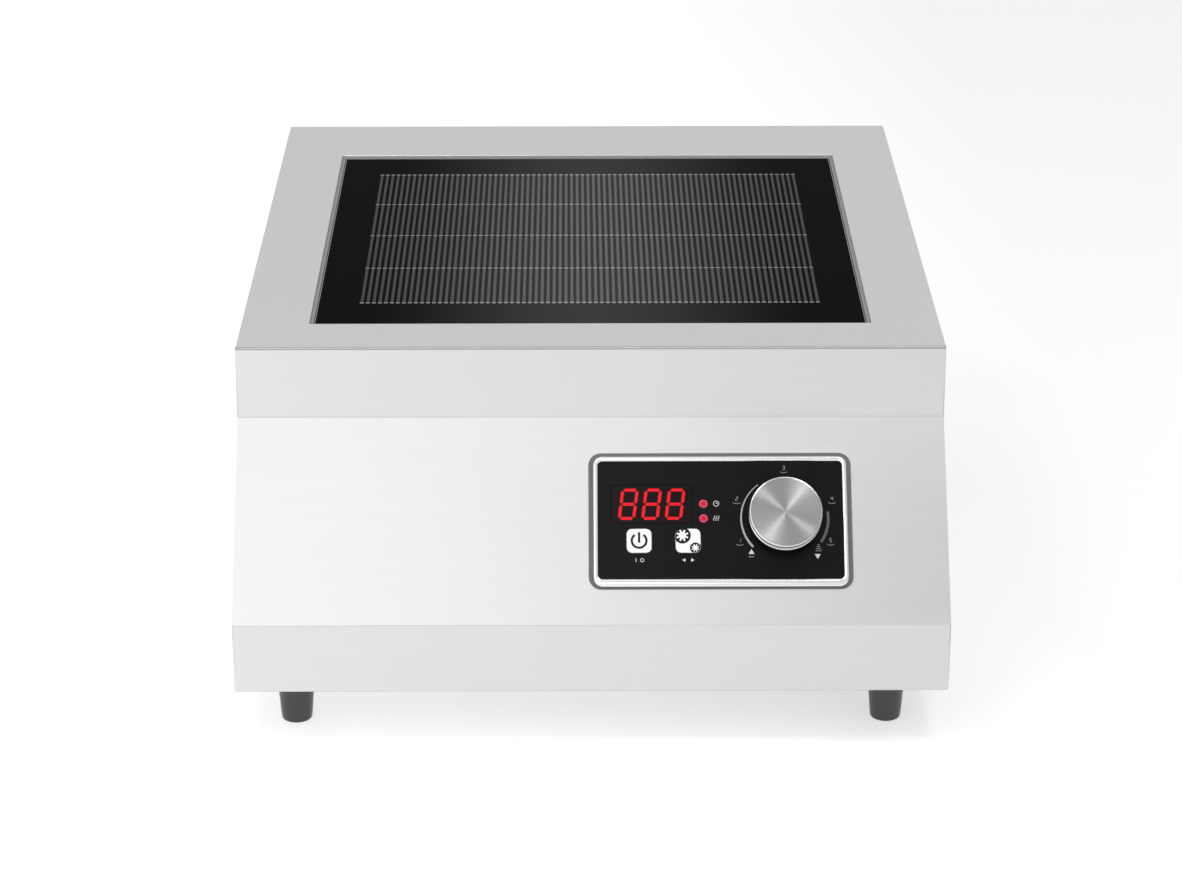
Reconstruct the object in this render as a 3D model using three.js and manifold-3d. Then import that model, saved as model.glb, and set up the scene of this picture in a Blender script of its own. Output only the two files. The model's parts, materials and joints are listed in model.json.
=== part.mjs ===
// A countertop induction hob for a restaurant kitchen: a folded stainless steel casing on four rubber feet,
// with a square ceramic glass plate sunk in its top and a control panel on its sloping front.
// Millimetres. +X is to the cook's right, +Y to the back, +Z up.
// The origin is on the worktop, under the middle of the bounding box.
import * as THREE from "three";
import { mergeVertices } from "three/addons/utils/BufferGeometryUtils.js";
import Module from "manifold-3d";

const wasm = await Module();
wasm.setup();

// ---- Driving dimensions ---------------------------------------------------------------------------

const WIDTH = 350; // casing, side to side
const DEPTH = 442; // casing, front of the lower band to the rear panel's outer face
const HEIGHT = 182; // worktop to the steel top
const SHEET = 1.2; // casing sheet
const FOOT_HEIGHT = 25.5;
const BASE_SHEET = 1.5; // base plate
const LOWER_BAND = 36; // height of the upright band under the slope
const SLOPE_RISE = 82;
const SLOPE_RUN = 67.5;
const RETURN_FLANGE = 12; // folded edge that the rear panel and base plate are screwed to

const OPENING = 281.5; // square opening in the steel top
const OPENING_FROM_FRONT = 34.4; // from the top's front fold to the opening
const GLASS = 277.7; // square ceramic glass plate
const GLASS_THICK = 4;
const GLASS_SUNK = 1.5; // glass top below the steel top

const PANEL_X = 63.4; // middle of the control panel
const PANEL_DOWN = 0.5; // middle of the control panel, down the slope from the middle of the slope
const BEZEL_W = 129;
const BEZEL_H = 69;
const BEZEL_RADIUS = 6;
const BEZEL_RIM = 4.2;
const BEZEL_RISE = 2.5; // above the slope's surface
const OVERLAY_FACE = 1.8; // face of the black overlay above the slope's surface
const KNOB_X = 31.5; // from the middle of the control panel
const KNOB_Y = 0.8;
const KNOB_RADIUS = 18;
const KNOB_TOP = 13.2; // knob's face above the slope's surface
const KEY_SIZE = 12.2;
const KEY_Y = -10.6;
const KEY_X = { power: -40, select: -16 };
const KEY_RISE = 0.3; // key face above the overlay
const WINDOW = { w: 112, h: 52, radius: 3 }; // cut in the steel behind the panel
const HOUSING = { w: 126, h: 66, radius: 4, wall: 2.5, floor: 2, deep: 6 };
const DISPLAY = { w: 40, h: 19.4, x: -33.7, y: 8.1 };
const LAMP_X = -8.3;
const LAMP_Y = { time: 8.3, heat: 0.8 };
const LAMP_HOLE = 2.4; // radius
const KEY_HOLE_RADIUS = 3; // corner

const FOOT_TREAD = 6.9; // radius where it stands
const FOOT_TOP = 9.9; // radius under the base plate
const FOOT_INSET = 28; // foot's axis from the side and from the front or rear face
const GLAND_X = -138;
const GLAND_UP = 29; // gland's axis above the casing's underside
const GLAND_OUT = 20; // gland's tip behind the rear panel
const GLAND_THREAD = 10; // radius
const GLAND_BORE = 6; // radius
const SCREW_HOLE = 2.25; // radius, for the rear screws
const FOOT_SCREW_HOLE = 2.3; // radius
const FAN = 92; // square fan frame
const FAN_DEEP = 25;
const FAN_MOUTH = 42; // radius of the round field of slots under each fan
const FAN_X = 56;
const FAN_Y = 118;

const GAP = 0.3; // between pieces that touch

// ---- Worked-out places ----------------------------------------------------------------------------

const BODY_BOTTOM = FOOT_HEIGHT + BASE_SHEET;
const FRONT_Y = -(DEPTH + GLAND_OUT) / 2;
const REAR_Y = FRONT_Y + DEPTH; // rear panel's outer face
const GLAND_Z = BODY_BOTTOM + GLAND_UP;
const SHELL_REAR_Y = REAR_Y - SHEET;
const TOP_FRONT_Y = FRONT_Y + SLOPE_RUN;
const SLOPE_LOW_Z = BODY_BOTTOM + LOWER_BAND;
const SLOPE_HIGH_Z = SLOPE_LOW_Z + SLOPE_RISE;
const HOB_Y = TOP_FRONT_Y + OPENING_FROM_FRONT + OPENING / 2; // middle of the glass
const GLASS_TOP = HEIGHT - GLASS_SUNK;
const GLASS_BOTTOM = GLASS_TOP - GLASS_THICK;
const SLOPE_ANGLE = Math.atan2(SLOPE_RISE, SLOPE_RUN);
const INNER_X = WIDTH / 2 - SHEET;

// ---- Materials ------------------------------------------------------------------------------------

const paint = (color, roughness, metalness) =>
  new THREE.MeshStandardMaterial({ color, roughness, metalness });
const steel = paint(0xd4d5d6, 0.32, 1);
const zincSteel = paint(0xb4b8bc, 0.45, 1);
const blackGlass = paint(0x0b0b0c, 0.06, 0);
const silicone = paint(0x77797b, 0.6, 0);
const rubber = paint(0x2b2b2c, 0.8, 0);
const blackPlastic = paint(0x161617, 0.45, 0);
const greyPlastic = paint(0x5c5e60, 0.55, 0);
const chrome = paint(0xe6e8ea, 0.12, 1);
const overlayBlack = paint(0x1c1c1d, 0.2, 0);
const whiteKey = paint(0xf3f3f1, 0.4, 0);
const lampRed = paint(0xd8283c, 0.25, 0);
const aluminium = paint(0xc9cbcd, 0.3, 1);
const copper = paint(0xb56a3a, 0.4, 1);
const mica = paint(0xb9a98a, 0.6, 0);
const phenolic = paint(0x3a2f28, 0.7, 0);
const ferrite = paint(0x2f2f33, 0.6, 0);
const boardGreen = paint(0x1d5b3a, 0.5, 0);
const epoxyBlue = paint(0x27508c, 0.4, 0);
const brass = paint(0xb99a4c, 0.35, 1);

// ---- Solids ---------------------------------------------------------------------------------------

/** A closed geometry as a manifold-3d solid. */
function solid(geometry) {
  const bare = new THREE.BufferGeometry();
  const loose = geometry.index ? geometry.toNonIndexed() : geometry;
  bare.setAttribute("position", loose.getAttribute("position"));
  const merged = mergeVertices(bare, 1e-4);
  return new wasm.Manifold(
    new wasm.Mesh({
      numProp: 3,
      vertProperties: merged.attributes.position.array,
      triVerts: new Uint32Array(merged.index.array),
    }),
  );
}

/** A manifold-3d solid as a three.js geometry. */
function geometryOf(made) {
  const mesh = made.getMesh();
  const geometry = new THREE.BufferGeometry();
  geometry.setAttribute("position", new THREE.BufferAttribute(mesh.vertProperties, 3));
  geometry.setIndex(new THREE.BufferAttribute(mesh.triVerts, 1));
  return geometry;
}

const join = (...pieces) =>
  geometryOf(pieces.map(solid).reduce((whole, piece) => whole.add(piece)));
const cut = (piece, ...tools) =>
  geometryOf(tools.map(solid).reduce((left, tool) => left.subtract(tool), solid(piece)));

/** A box w by d by h, its middle at x, y and its underside at z. */
const block = (w, d, h, x = 0, y = 0, z = 0) =>
  new THREE.BoxGeometry(w, d, h).translate(x, y, z + h / 2);

/** An upright cylinder whose underside is at z. */
const rod = (radius, h, x = 0, y = 0, z = 0, sides = 20) =>
  new THREE.CylinderGeometry(radius, radius, h, sides)
    .rotateX(Math.PI / 2)
    .translate(x, y, z + h / 2);

/** A solid of revolution about Z from [radius, height] points. */
function turned(profile, sides = 20) {
  const points = profile.map(([r, z]) => new THREE.Vector2(r, z));
  const closed = points[0].x > 0;
  if (THREE.ShapeUtils.area(points) < 0) points.reverse();
  if (closed) points.push(points[0].clone());
  return new THREE.LatheGeometry(points, sides).rotateX(Math.PI / 2);
}

/** A rectangle with round corners, centred on x, y. */
function roundedRect(w, h, radius, x = 0, y = 0) {
  const shape = new THREE.Shape();
  const corners = [
    [1, 1, 0],
    [-1, 1, Math.PI / 2],
    [-1, -1, Math.PI],
    [1, -1, (3 * Math.PI) / 2],
  ];
  for (const [sx, sy, start] of corners) {
    const cx = x + sx * (w / 2 - radius);
    const cy = y + sy * (h / 2 - radius);
    shape.absarc(cx, cy, radius, start, start + Math.PI / 2, false);
  }
  return shape;
}

/** A flat shape pulled up from z by h. */
const pulled = (shape, h, z = 0, curveSegments = 4) =>
  new THREE.ExtrudeGeometry(shape, { depth: h, bevelEnabled: false, curveSegments }).translate(0, 0, z);

/** An outline in Y and Z, pulled along X about the middle plane. */
function wideProfile(outline, width) {
  const shape = new THREE.Shape(outline.map(([y, z]) => new THREE.Vector2(y, z)));
  const geometry = new THREE.ExtrudeGeometry(shape, { depth: width, bevelEnabled: false });
  // Shape x becomes Y, shape y becomes Z and the depth becomes X.
  const turn = new THREE.Matrix4().makeBasis(
    new THREE.Vector3(0, 1, 0),
    new THREE.Vector3(0, 0, 1),
    new THREE.Vector3(1, 0, 0),
  );
  return geometry.applyMatrix4(turn).translate(-width / 2, 0, 0);
}

/** A square ring lying flat, from its half widths. */
const squareRing = (outer, inner, h, z) =>
  cut(block(2 * outer, 2 * outer, h, 0, HOB_Y, z), block(2 * inner, 2 * inner, h + 2, 0, HOB_Y, z - 1));

const hob = new THREE.Group();

/** Adds a named mesh to a group. */
function piece(name, geometry, material, group = hob) {
  const mesh = new THREE.Mesh(geometry, material);
  mesh.name = name;
  group.add(mesh);
  return mesh;
}

// Everything on the control panel is laid out in the slope's own frame: +X right, +Y up the slope and +Z out
// of it, from the middle of the panel on the slope's surface.
const panel = new THREE.Group();
panel.position.set(PANEL_X, FRONT_Y + SLOPE_RUN / 2, SLOPE_LOW_Z + SLOPE_RISE / 2);
panel.rotation.x = SLOPE_ANGLE;
panel.translateY(-PANEL_DOWN);
panel.updateMatrix();
hob.add(panel);

// ---- Casing ---------------------------------------------------------------------------------------

const VENT = { slot: 4, pitch: 9 };
const SIDE_VENT = { count: 11, height: 42, y: 96, z: BODY_BOTTOM + 27 };
const REAR_VENT = { rows: 8, columns: 3, width: 62, x: 36, z: BODY_BOTTOM + 33, column: 76 };
const REAR_SCREWS = [
  [-1, BODY_BOTTOM + 15],
  [1, BODY_BOTTOM + 15],
  [-1, HEIGHT - 14],
  [1, HEIGHT - 14],
];
const REAR_SCREW_X = INNER_X - RETURN_FLANGE / 2;

/** The casing's side outline, set in from its faces by a margin, with the rear and the underside given. */
function sideOutline(margin, rear, bottom) {
  const slant = Math.hypot(SLOPE_RUN, SLOPE_RISE);
  // Where the margin line under the slope meets those behind the two upright bands.
  const bend = (margin * (slant - SLOPE_RISE)) / SLOPE_RUN;
  return [
    [FRONT_Y + margin, bottom],
    [rear, bottom],
    [rear, HEIGHT - margin],
    [TOP_FRONT_Y + margin, HEIGHT - margin],
    [TOP_FRONT_Y + margin, SLOPE_HIGH_Z - bend],
    [FRONT_Y + margin, SLOPE_LOW_Z - bend],
  ];
}

/** Screw holes along Y through the rear return flanges or the rear panel. */
const rearScrewHoles = () =>
  REAR_SCREWS.map(([side, z]) =>
    new THREE.CylinderGeometry(SCREW_HOLE, SCREW_HOLE, 12, 12)
      .translate(side * REAR_SCREW_X, SHELL_REAR_Y, z),
  );

function outerShell() {
  const skin = wideProfile(sideOutline(0, SHELL_REAR_Y, BODY_BOTTOM), WIDTH);
  const cavity = wideProfile(
    sideOutline(SHEET, SHELL_REAR_Y - SHEET, BODY_BOTTOM + SHEET),
    2 * INNER_X,
  );
  const inset = RETURN_FLANGE + SHEET;
  const mouth = WIDTH - 2 * inset;
  const under = DEPTH - inset + 5;
  const underMouth = block(mouth, under, 5, 0, FRONT_Y + inset + under / 2, BODY_BOTTOM - 2);
  const rearHeight = HEIGHT - inset - BODY_BOTTOM + 5;
  const rearMouth = block(mouth, 8, rearHeight, 0, SHELL_REAR_Y, BODY_BOTTOM - 5);
  const lowCorner = block(2 * INNER_X, 4, 6, 0, SHELL_REAR_Y - 1, BODY_BOTTOM - 3);
  const glassOpening = block(OPENING, OPENING, 6, 0, HOB_Y, HEIGHT - 4);
  const window = pulled(roundedRect(WINDOW.w, WINDOW.h, WINDOW.radius), 8, -4);
  window.applyMatrix4(panel.matrix);
  const vents = [];
  for (let i = 0; i < SIDE_VENT.count; i++) {
    const y = SIDE_VENT.y + (i - (SIDE_VENT.count - 1) / 2) * VENT.pitch;
    vents.push(block(WIDTH + 10, VENT.slot, SIDE_VENT.height, 0, y, SIDE_VENT.z));
  }
  return cut(
    skin, cavity, underMouth, rearMouth, lowCorner, glassOpening, window, ...vents, ...rearScrewHoles(),
  );
}

function rearPanel() {
  const edge = 1; // the panel is set in from the casing's edges
  const seam = 0.05; // between the casing's flanges and the panel
  const high = HEIGHT - BODY_BOTTOM - 2 * edge;
  const middle = SHELL_REAR_Y + (SHEET + seam) / 2;
  const plate = block(WIDTH - 2 * edge, SHEET - seam, high, 0, middle, BODY_BOTTOM + edge);
  const slots = [];
  for (let row = 0; row < REAR_VENT.rows; row++) {
    for (let column = 0; column < REAR_VENT.columns; column++) {
      const x = REAR_VENT.x + (column - 1) * REAR_VENT.column;
      const z = REAR_VENT.z + row * VENT.pitch;
      slots.push(block(REAR_VENT.width, 6, VENT.slot, x, REAR_Y, z));
    }
  }
  const glandHole = new THREE.CylinderGeometry(GLAND_THREAD + GAP, GLAND_THREAD + GAP, 6, 24)
    .translate(GLAND_X, REAR_Y, GLAND_Z);
  return cut(plate, glandHole, ...slots, ...rearScrewHoles());
}

const footPlaces = [
  ["front_left", -1, FRONT_Y + FOOT_INSET],
  ["front_right", 1, FRONT_Y + FOOT_INSET],
  ["rear_left", -1, REAR_Y - FOOT_INSET],
  ["rear_right", 1, REAR_Y - FOOT_INSET],
];
const footX = WIDTH / 2 - FOOT_INSET;

const BOARD = { w: 210, d: 128, thick: 1.6, y: -20, z: BODY_BOTTOM + 10 };
const PILLAR = { radius: 3.2, inset: 6 };

function basePlate() {
  const edge = 4; // the plate is set in, so that the casing hides its edge
  const middle = (FRONT_Y + SHELL_REAR_Y) / 2;
  const deep = SHELL_REAR_Y - FRONT_Y - 2 * edge;
  const plate = block(WIDTH - 2 * edge, deep, BASE_SHEET, 0, middle, FOOT_HEIGHT);
  const pillars = [];
  for (const sx of [-1, 1]) {
    for (const sy of [-1, 1]) {
      const x = sx * (BOARD.w / 2 - PILLAR.inset);
      const y = BOARD.y + sy * (BOARD.d / 2 - PILLAR.inset);
      pillars.push(rod(PILLAR.radius, BOARD.z - FOOT_HEIGHT - 0.5, x, y, FOOT_HEIGHT + 0.5, 10));
    }
  }
  const holes = footPlaces.map(([, side, y]) =>
    rod(FOOT_SCREW_HOLE, 6, side * footX, y, FOOT_HEIGHT - 2, 12),
  );
  const slotRows = 8;
  for (const side of [-1, 1]) {
    for (let i = 0; i < slotRows; i++) {
      const y = FAN_Y + (i - (slotRows - 1) / 2) * VENT.pitch;
      // Slots get shorter away from the fan's axis, so that they fill its round mouth.
      const reach = Math.sqrt(FAN_MOUTH ** 2 - (y - FAN_Y) ** 2);
      holes.push(block(2 * reach - 6, VENT.slot, 6, side * FAN_X, y, FOOT_HEIGHT - 2));
    }
  }
  return cut(join(plate, ...pillars), ...holes);
}

piece("outer_shell", outerShell(), steel);
piece("rear_panel", rearPanel(), steel);
piece("base_plate", basePlate(), zincSteel);

// ---- Screws, feet and cable gland -----------------------------------------------------------------

/** A pan-head screw pointing up, its head's underside at z 0. */
const panScrew = (headRadius, headHigh, shankRadius, shank) =>
  turned(
    [
      [0, shank],
      [shankRadius, shank],
      [shankRadius, 0],
      [headRadius, 0],
      [headRadius, -headHigh * 0.5],
      [headRadius * 0.72, -headHigh],
      [0, -headHigh],
    ],
    12,
  );

REAR_SCREWS.forEach(([side, z], i) => {
  const screw = panScrew(4, 2.4, 1.95, 8).rotateX(Math.PI / 2);
  piece(`rear_screw_${i + 1}`, screw.translate(side * REAR_SCREW_X, REAR_Y + 0.1, z), zincSteel);
});

for (const [place, side, y] of footPlaces) {
  const foot = turned([
    [2.6, 6],
    [5.2, 6],
    [5.2, 0],
    [FOOT_TREAD, 0],
    [FOOT_TREAD + 0.7, 1],
    [FOOT_TOP, FOOT_HEIGHT - 0.05],
    [2.6, FOOT_HEIGHT - 0.05],
  ]);
  piece(`foot_${place}`, foot.translate(side * footX, y, 0), rubber);
  const screw = panScrew(4.2, 2.6, 2, FOOT_HEIGHT);
  piece(`foot_screw_${place}`, screw.translate(side * footX, y, 5.8), zincSteel);
}

/** A six-sided nut about Z with a round hole. */
const hexNut = (flat, hole, h) =>
  cut(
    new THREE.CylinderGeometry(flat / Math.sqrt(3), flat / Math.sqrt(3), h, 6).rotateX(Math.PI / 2),
    rod(hole, h + 2, 0, 0, -h / 2 - 1),
  );

/** Turns a piece made about Z so that it points out of the rear panel, in line with the gland. */
const onGland = (geometry, out) =>
  geometry.rotateX(-Math.PI / 2).translate(GLAND_X, REAR_Y + out, GLAND_Z);

const glandBody = join(
  turned([
    [GLAND_BORE, -13],
    [GLAND_THREAD, -13],
    [GLAND_THREAD, 1],
    [GLAND_BORE, 1],
  ]),
  cut(
    new THREE.CylinderGeometry(14, 14, 6, 6).rotateX(Math.PI / 2).translate(0, 0, 3.1),
    rod(GLAND_BORE, 10, 0, 0, -2, 24),
  ),
);
const glandNut = turned([
  [GLAND_BORE + 0.4, 6.4],
  [12.6, 6.4],
  [12.6, 13],
  [11, 16.5],
  [8.2, GLAND_OUT],
  [GLAND_BORE + 0.4, GLAND_OUT],
]);
piece("gland_body", onGland(glandBody, 0), blackPlastic);
piece("gland_nut", onGland(glandNut, 0), blackPlastic);
const locknut = hexNut(26, GLAND_THREAD + GAP, 5);
piece("gland_locknut", onGland(locknut, -SHEET - 2.6), blackPlastic);

// ---- Ceramic glass, its frame and seal ------------------------------------------------------------

const LEDGE_INNER = 129;
const LEDGE_OUTER = OPENING / 2 + 2;
const LEDGE_TOP = GLASS_BOTTOM - GAP;
const frameSheet = 1.2;
const FLANGE_TOP = HEIGHT - SHEET - 0.05;
const ledgeUnder = LEDGE_TOP - frameSheet;

piece(
  "glass_frame",
  join(
    squareRing(LEDGE_OUTER + frameSheet, LEDGE_INNER, frameSheet, ledgeUnder),
    squareRing(LEDGE_OUTER + frameSheet, LEDGE_OUTER, FLANGE_TOP - ledgeUnder, ledgeUnder),
    squareRing(LEDGE_OUTER + 10, LEDGE_OUTER, frameSheet, FLANGE_TOP - frameSheet),
  ),
  steel,
);
piece("glass_plate", block(GLASS, GLASS, GLASS_THICK, 0, HOB_Y, GLASS_BOTTOM), blackGlass);
piece(
  "glass_seal",
  squareRing(OPENING / 2 - 0.1, GLASS / 2 + 0.1, GLASS_THICK - 0.4, GLASS_BOTTOM),
  silicone,
);

// ---- Induction coil -------------------------------------------------------------------------------

const COIL = { inner: 22, outer: 103, turns: 12, wide: 5.6, high: 3.6, z: GLASS_BOTTOM - 5.1 };

/** One flat spiral winding of rectangular section. */
function spiralWinding() {
  const stepsPerTurn = 16;
  const steps = COIL.turns * stepsPerTurn;
  const positions = [];
  const index = [];
  for (let i = 0; i <= steps; i++) {
    const angle = (i / stepsPerTurn) * 2 * Math.PI;
    const radius = COIL.inner + ((COIL.outer - COIL.inner) * i) / steps;
    for (const [across, up] of [[-1, 0], [1, 0], [1, 1], [-1, 1]]) {
      const r = radius + (across * COIL.wide) / 2;
      positions.push(r * Math.cos(angle), HOB_Y + r * Math.sin(angle), COIL.z + up * COIL.high);
    }
  }
  for (let i = 0; i < steps; i++) {
    for (let side = 0; side < 4; side++) {
      const a = 4 * i + side;
      const b = 4 * i + ((side + 1) % 4);
      index.push(a, a + 4, b, b, a + 4, b + 4);
    }
  }
  const last = 4 * steps;
  index.push(0, 1, 2, 0, 2, 3, last, last + 2, last + 1, last, last + 3, last + 2);
  const geometry = new THREE.BufferGeometry();
  geometry.setAttribute("position", new THREE.Float32BufferAttribute(positions, 3));
  geometry.setIndex(index);
  return geometry;
}

const CARRIER_TOP = COIL.z - 0.2;
const carrierThick = 3;
const SHIELD_TOP = GLASS_BOTTOM - 15.5;
const carrierUnder = CARRIER_TOP - carrierThick;
const bosses = [0, 1, 2, 3].map((i) => {
  const angle = (i * Math.PI) / 2;
  const drop = carrierUnder - SHIELD_TOP - 0.2;
  return rod(6, drop + 1, 92 * Math.cos(angle), 92 * Math.sin(angle), SHIELD_TOP + 0.2, 12);
});
const carrierDisc = turned(
  [
    [12, carrierUnder],
    [112, carrierUnder],
    [112, CARRIER_TOP],
    [12, CARRIER_TOP],
  ],
  40,
);
const carrierSlots = [0, 1, 2, 3].map((i) =>
  block(60, 8, 12, 0, 0, carrierUnder - 2).translate(62, 0, 0).rotateZ(Math.PI / 4 + (i * Math.PI) / 2),
);

piece("mica_disc", rod(108, 0.6, 0, HOB_Y, COIL.z + COIL.high + 0.3, 40), mica);
piece("induction_coil", spiralWinding(), copper);
piece("coil_carrier", cut(join(carrierDisc, ...bosses), ...carrierSlots).translate(0, HOB_Y, 0), phenolic);
for (let i = 0; i < 4; i++) {
  const bar = block(56, 14, 4.6, 62, 0, carrierUnder - 4.9).rotateZ(Math.PI / 4 + (i * Math.PI) / 2);
  piece(`ferrite_bar_${i + 1}`, bar.translate(0, HOB_Y, 0), ferrite);
}
piece(
  "temperature_sensor",
  turned([
    [0, carrierUnder - 3],
    [16, carrierUnder - 3],
    [16, carrierUnder - 0.3],
    [9, carrierUnder - 0.3],
    [9, COIL.z + 3],
    [7, COIL.z + COIL.high],
    [0, COIL.z + COIL.high],
  ]).translate(0, HOB_Y, 0),
  greyPlastic,
);

/** The aluminium tray that carries the coil and shields the boards, on four legs from the base plate. */
function coilShield() {
  const half = 119;
  const sheet = 1.5;
  const legHeight = SHIELD_TOP - BODY_BOTTOM;
  const legs = [];
  for (const sx of [-1, 1]) {
    for (const sy of [-1, 1]) {
      legs.push(block(sheet, 18, legHeight, sx * (half - sheet / 2), sy * (half - 9), BODY_BOTTOM));
      legs.push(block(12, 18, sheet, sx * (half + 5), sy * (half - 9), BODY_BOTTOM));
    }
  }
  const tray = block(2 * half, 2 * half, sheet, 0, 0, SHIELD_TOP - sheet);
  return cut(join(tray, ...legs), rod(10, 6, 0, 0, SHIELD_TOP - 4)).translate(0, HOB_Y, 0);
}
piece("coil_shield", coilShield(), aluminium);

// ---- Power board ----------------------------------------------------------------------------------

const boardTop = BOARD.z + BOARD.thick;
const SINK = { w: 112, d: 60, base: 5, fin: 30, fins: 12, finThick: 1.8, x: -32, y: BOARD.y + 18 };

/** A finned aluminium heatsink, its fins running front to back. */
function heatsink() {
  const outline = [[-SINK.w / 2, 0], [SINK.w / 2, 0]];
  const pitch = (SINK.w - SINK.finThick) / (SINK.fins - 1);
  for (let i = SINK.fins - 1; i >= 0; i--) {
    const x = -SINK.w / 2 + i * pitch;
    const tip = SINK.base + SINK.fin;
    outline.push([x + SINK.finThick, SINK.base], [x + SINK.finThick, tip], [x, tip], [x, SINK.base]);
  }
  // The outermost fins are flush with the base's ends, so their outer foot points fall on its edges.
  const shape = new THREE.Shape(outline.map(([x, z]) => new THREE.Vector2(x, z)));
  return new THREE.ExtrudeGeometry(shape, { depth: SINK.d, bevelEnabled: false })
    .rotateX(Math.PI / 2)
    .translate(SINK.x, SINK.y + SINK.d / 2, boardTop + 0.2);
}

const chipY = SINK.y - SINK.d / 2;
piece("power_board", block(BOARD.w, BOARD.d, BOARD.thick, 0, BOARD.y, BOARD.z + 0.1), boardGreen);
piece("heatsink", heatsink(), aluminium);
piece("igbt", block(16, 5, 21, SINK.x - 22, chipY - 2.8, boardTop + 0.4), blackPlastic);
piece("bridge_rectifier", block(30, 6, 20, SINK.x + 20, chipY - 3.3, boardTop + 0.4), blackPlastic);
piece(
  "choke",
  new THREE.TorusGeometry(15, 7, 8, 20).translate(62, BOARD.y + 30, boardTop + 7.4),
  copper,
);
piece("resonant_capacitor", block(44, 20, 34, 62, BOARD.y - 12, boardTop + 0.4), epoxyBlue);
piece("filter_capacitor", block(38, 18, 28, 62, BOARD.y - 42, boardTop + 0.4), epoxyBlue);

const TERMINAL = { w: 42, d: 22, h: 18, x: -132, y: 150 };
const terminalHoles = [-1, 0, 1].map((i) =>
  rod(3, 8, TERMINAL.x + i * 13, TERMINAL.y, BODY_BOTTOM + TERMINAL.h - 6, 10),
);
const { w, d, h, x, y } = TERMINAL;
const terminalBody = block(w, d, h, x, y, BODY_BOTTOM + 0.1);
piece("terminal_block", cut(terminalBody, ...terminalHoles), greyPlastic);

// ---- Cooling fans ---------------------------------------------------------------------------------

const FAN_BORE = 43;
const HUB_RADIUS = 19;

function fanFrame() {
  const shroud = cut(
    pulled(roundedRect(FAN, FAN, 4), FAN_DEEP, 0, 2),
    rod(FAN_BORE, FAN_DEEP + 2, 0, 0, -1, 36),
  );
  const struts = [0, 1, 2].map((i) =>
    block(FAN_BORE - 4, 4, 3, (FAN_BORE + 6) / 2, 0, 0).rotateZ((i * 2 * Math.PI) / 3 + 0.4),
  );
  return join(shroud, rod(HUB_RADIUS, 3, 0, 0, 0, 24), ...struts);
}

/** One fan blade: a plate along X whose pitch falls from its root to its tip. */
function fanBlade() {
  const root = HUB_RADIUS - 1.5;
  const tip = FAN_BORE - 1.5;
  const blade = new THREE.BoxGeometry(tip - root, 19, 1.6, 3, 1, 1).translate((tip + root) / 2, 0, 0);
  const place = blade.getAttribute("position");
  for (let i = 0; i < place.count; i++) {
    const along = (place.getX(i) - root) / (tip - root);
    const pitch = THREE.MathUtils.degToRad(46 - 20 * along);
    const [y, z] = [place.getY(i), place.getZ(i)];
    place.setY(i, y * Math.cos(pitch) - z * Math.sin(pitch));
    place.setZ(i, y * Math.sin(pitch) + z * Math.cos(pitch));
  }
  return blade;
}

const fanRotor = () => {
  const hubHigh = FAN_DEEP - 5;
  const blades = [];
  for (let i = 0; i < 7; i++) {
    blades.push(fanBlade().rotateZ((i * 2 * Math.PI) / 7).translate(0, 0, 4 + hubHigh / 2));
  }
  return join(rod(HUB_RADIUS, hubHigh, 0, 0, 4, 24), ...blades);
};

for (const [place, side] of [["left", -1], ["right", 1]]) {
  const stand = BODY_BOTTOM + 0.1;
  piece(`fan_frame_${place}`, fanFrame().translate(side * FAN_X, FAN_Y, stand), blackPlastic);
  piece(`fan_rotor_${place}`, fanRotor().translate(side * FAN_X, FAN_Y, stand), greyPlastic);
}

// ---- Control panel --------------------------------------------------------------------------------

const BOARD_BACK = -12;
const BUSH_HOLE = 4.6; // radius, for the encoder's threaded bush
const boardFace = BOARD_BACK + 1.6;
const overlayBack = GAP;

function controlBezel() {
  const chamfer = 0.6;
  const ring = roundedRect(BEZEL_W - 2 * chamfer, BEZEL_H - 2 * chamfer, BEZEL_RADIUS - chamfer);
  const rim = BEZEL_RIM - chamfer;
  ring.holes.push(roundedRect(BEZEL_W - 2 * rim, BEZEL_H - 2 * rim, 2.4));
  const soft = { bevelEnabled: true, bevelThickness: chamfer, bevelSize: chamfer, bevelSegments: 1 };
  const straight = BEZEL_RISE - GAP - 2 * chamfer;
  return new THREE.ExtrudeGeometry(ring, { depth: straight, curveSegments: 5, ...soft })
    .translate(0, 0, GAP + chamfer);
}

function controlOverlay() {
  const clear = 2 * (BEZEL_RIM + GAP);
  const sheet = roundedRect(BEZEL_W - clear, BEZEL_H - clear, 2);
  const hole = KEY_SIZE + 2 * GAP;
  for (const x of Object.values(KEY_X)) {
    sheet.holes.push(roundedRect(hole, hole, KEY_HOLE_RADIUS, x, KEY_Y));
  }
  sheet.holes.push(roundedRect(DISPLAY.w + 2 * GAP, DISPLAY.h + 2 * GAP, 0.8, DISPLAY.x, DISPLAY.y));
  for (const y of Object.values(LAMP_Y)) {
    sheet.holes.push(new THREE.Path().absarc(LAMP_X, y, LAMP_HOLE, 0, 2 * Math.PI));
  }
  sheet.holes.push(new THREE.Path().absarc(KNOB_X, KNOB_Y, BUSH_HOLE, 0, 2 * Math.PI));
  return pulled(sheet, OVERLAY_FACE - overlayBack, overlayBack, 4);
}

/** An open plastic tray behind the panel, which holds the control board. */
function controlHousing() {
  const { w, h, radius, wall, floor } = HOUSING;
  const back = BOARD_BACK - HOUSING.deep;
  const front = -SHEET - GAP;
  const outside = pulled(roundedRect(w, h, radius), front - back, back, 2);
  const inside = roundedRect(w - 2 * wall, h - 2 * wall, radius - 1);
  return cut(outside, pulled(inside, front - back, back + floor, 2));
}

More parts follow.
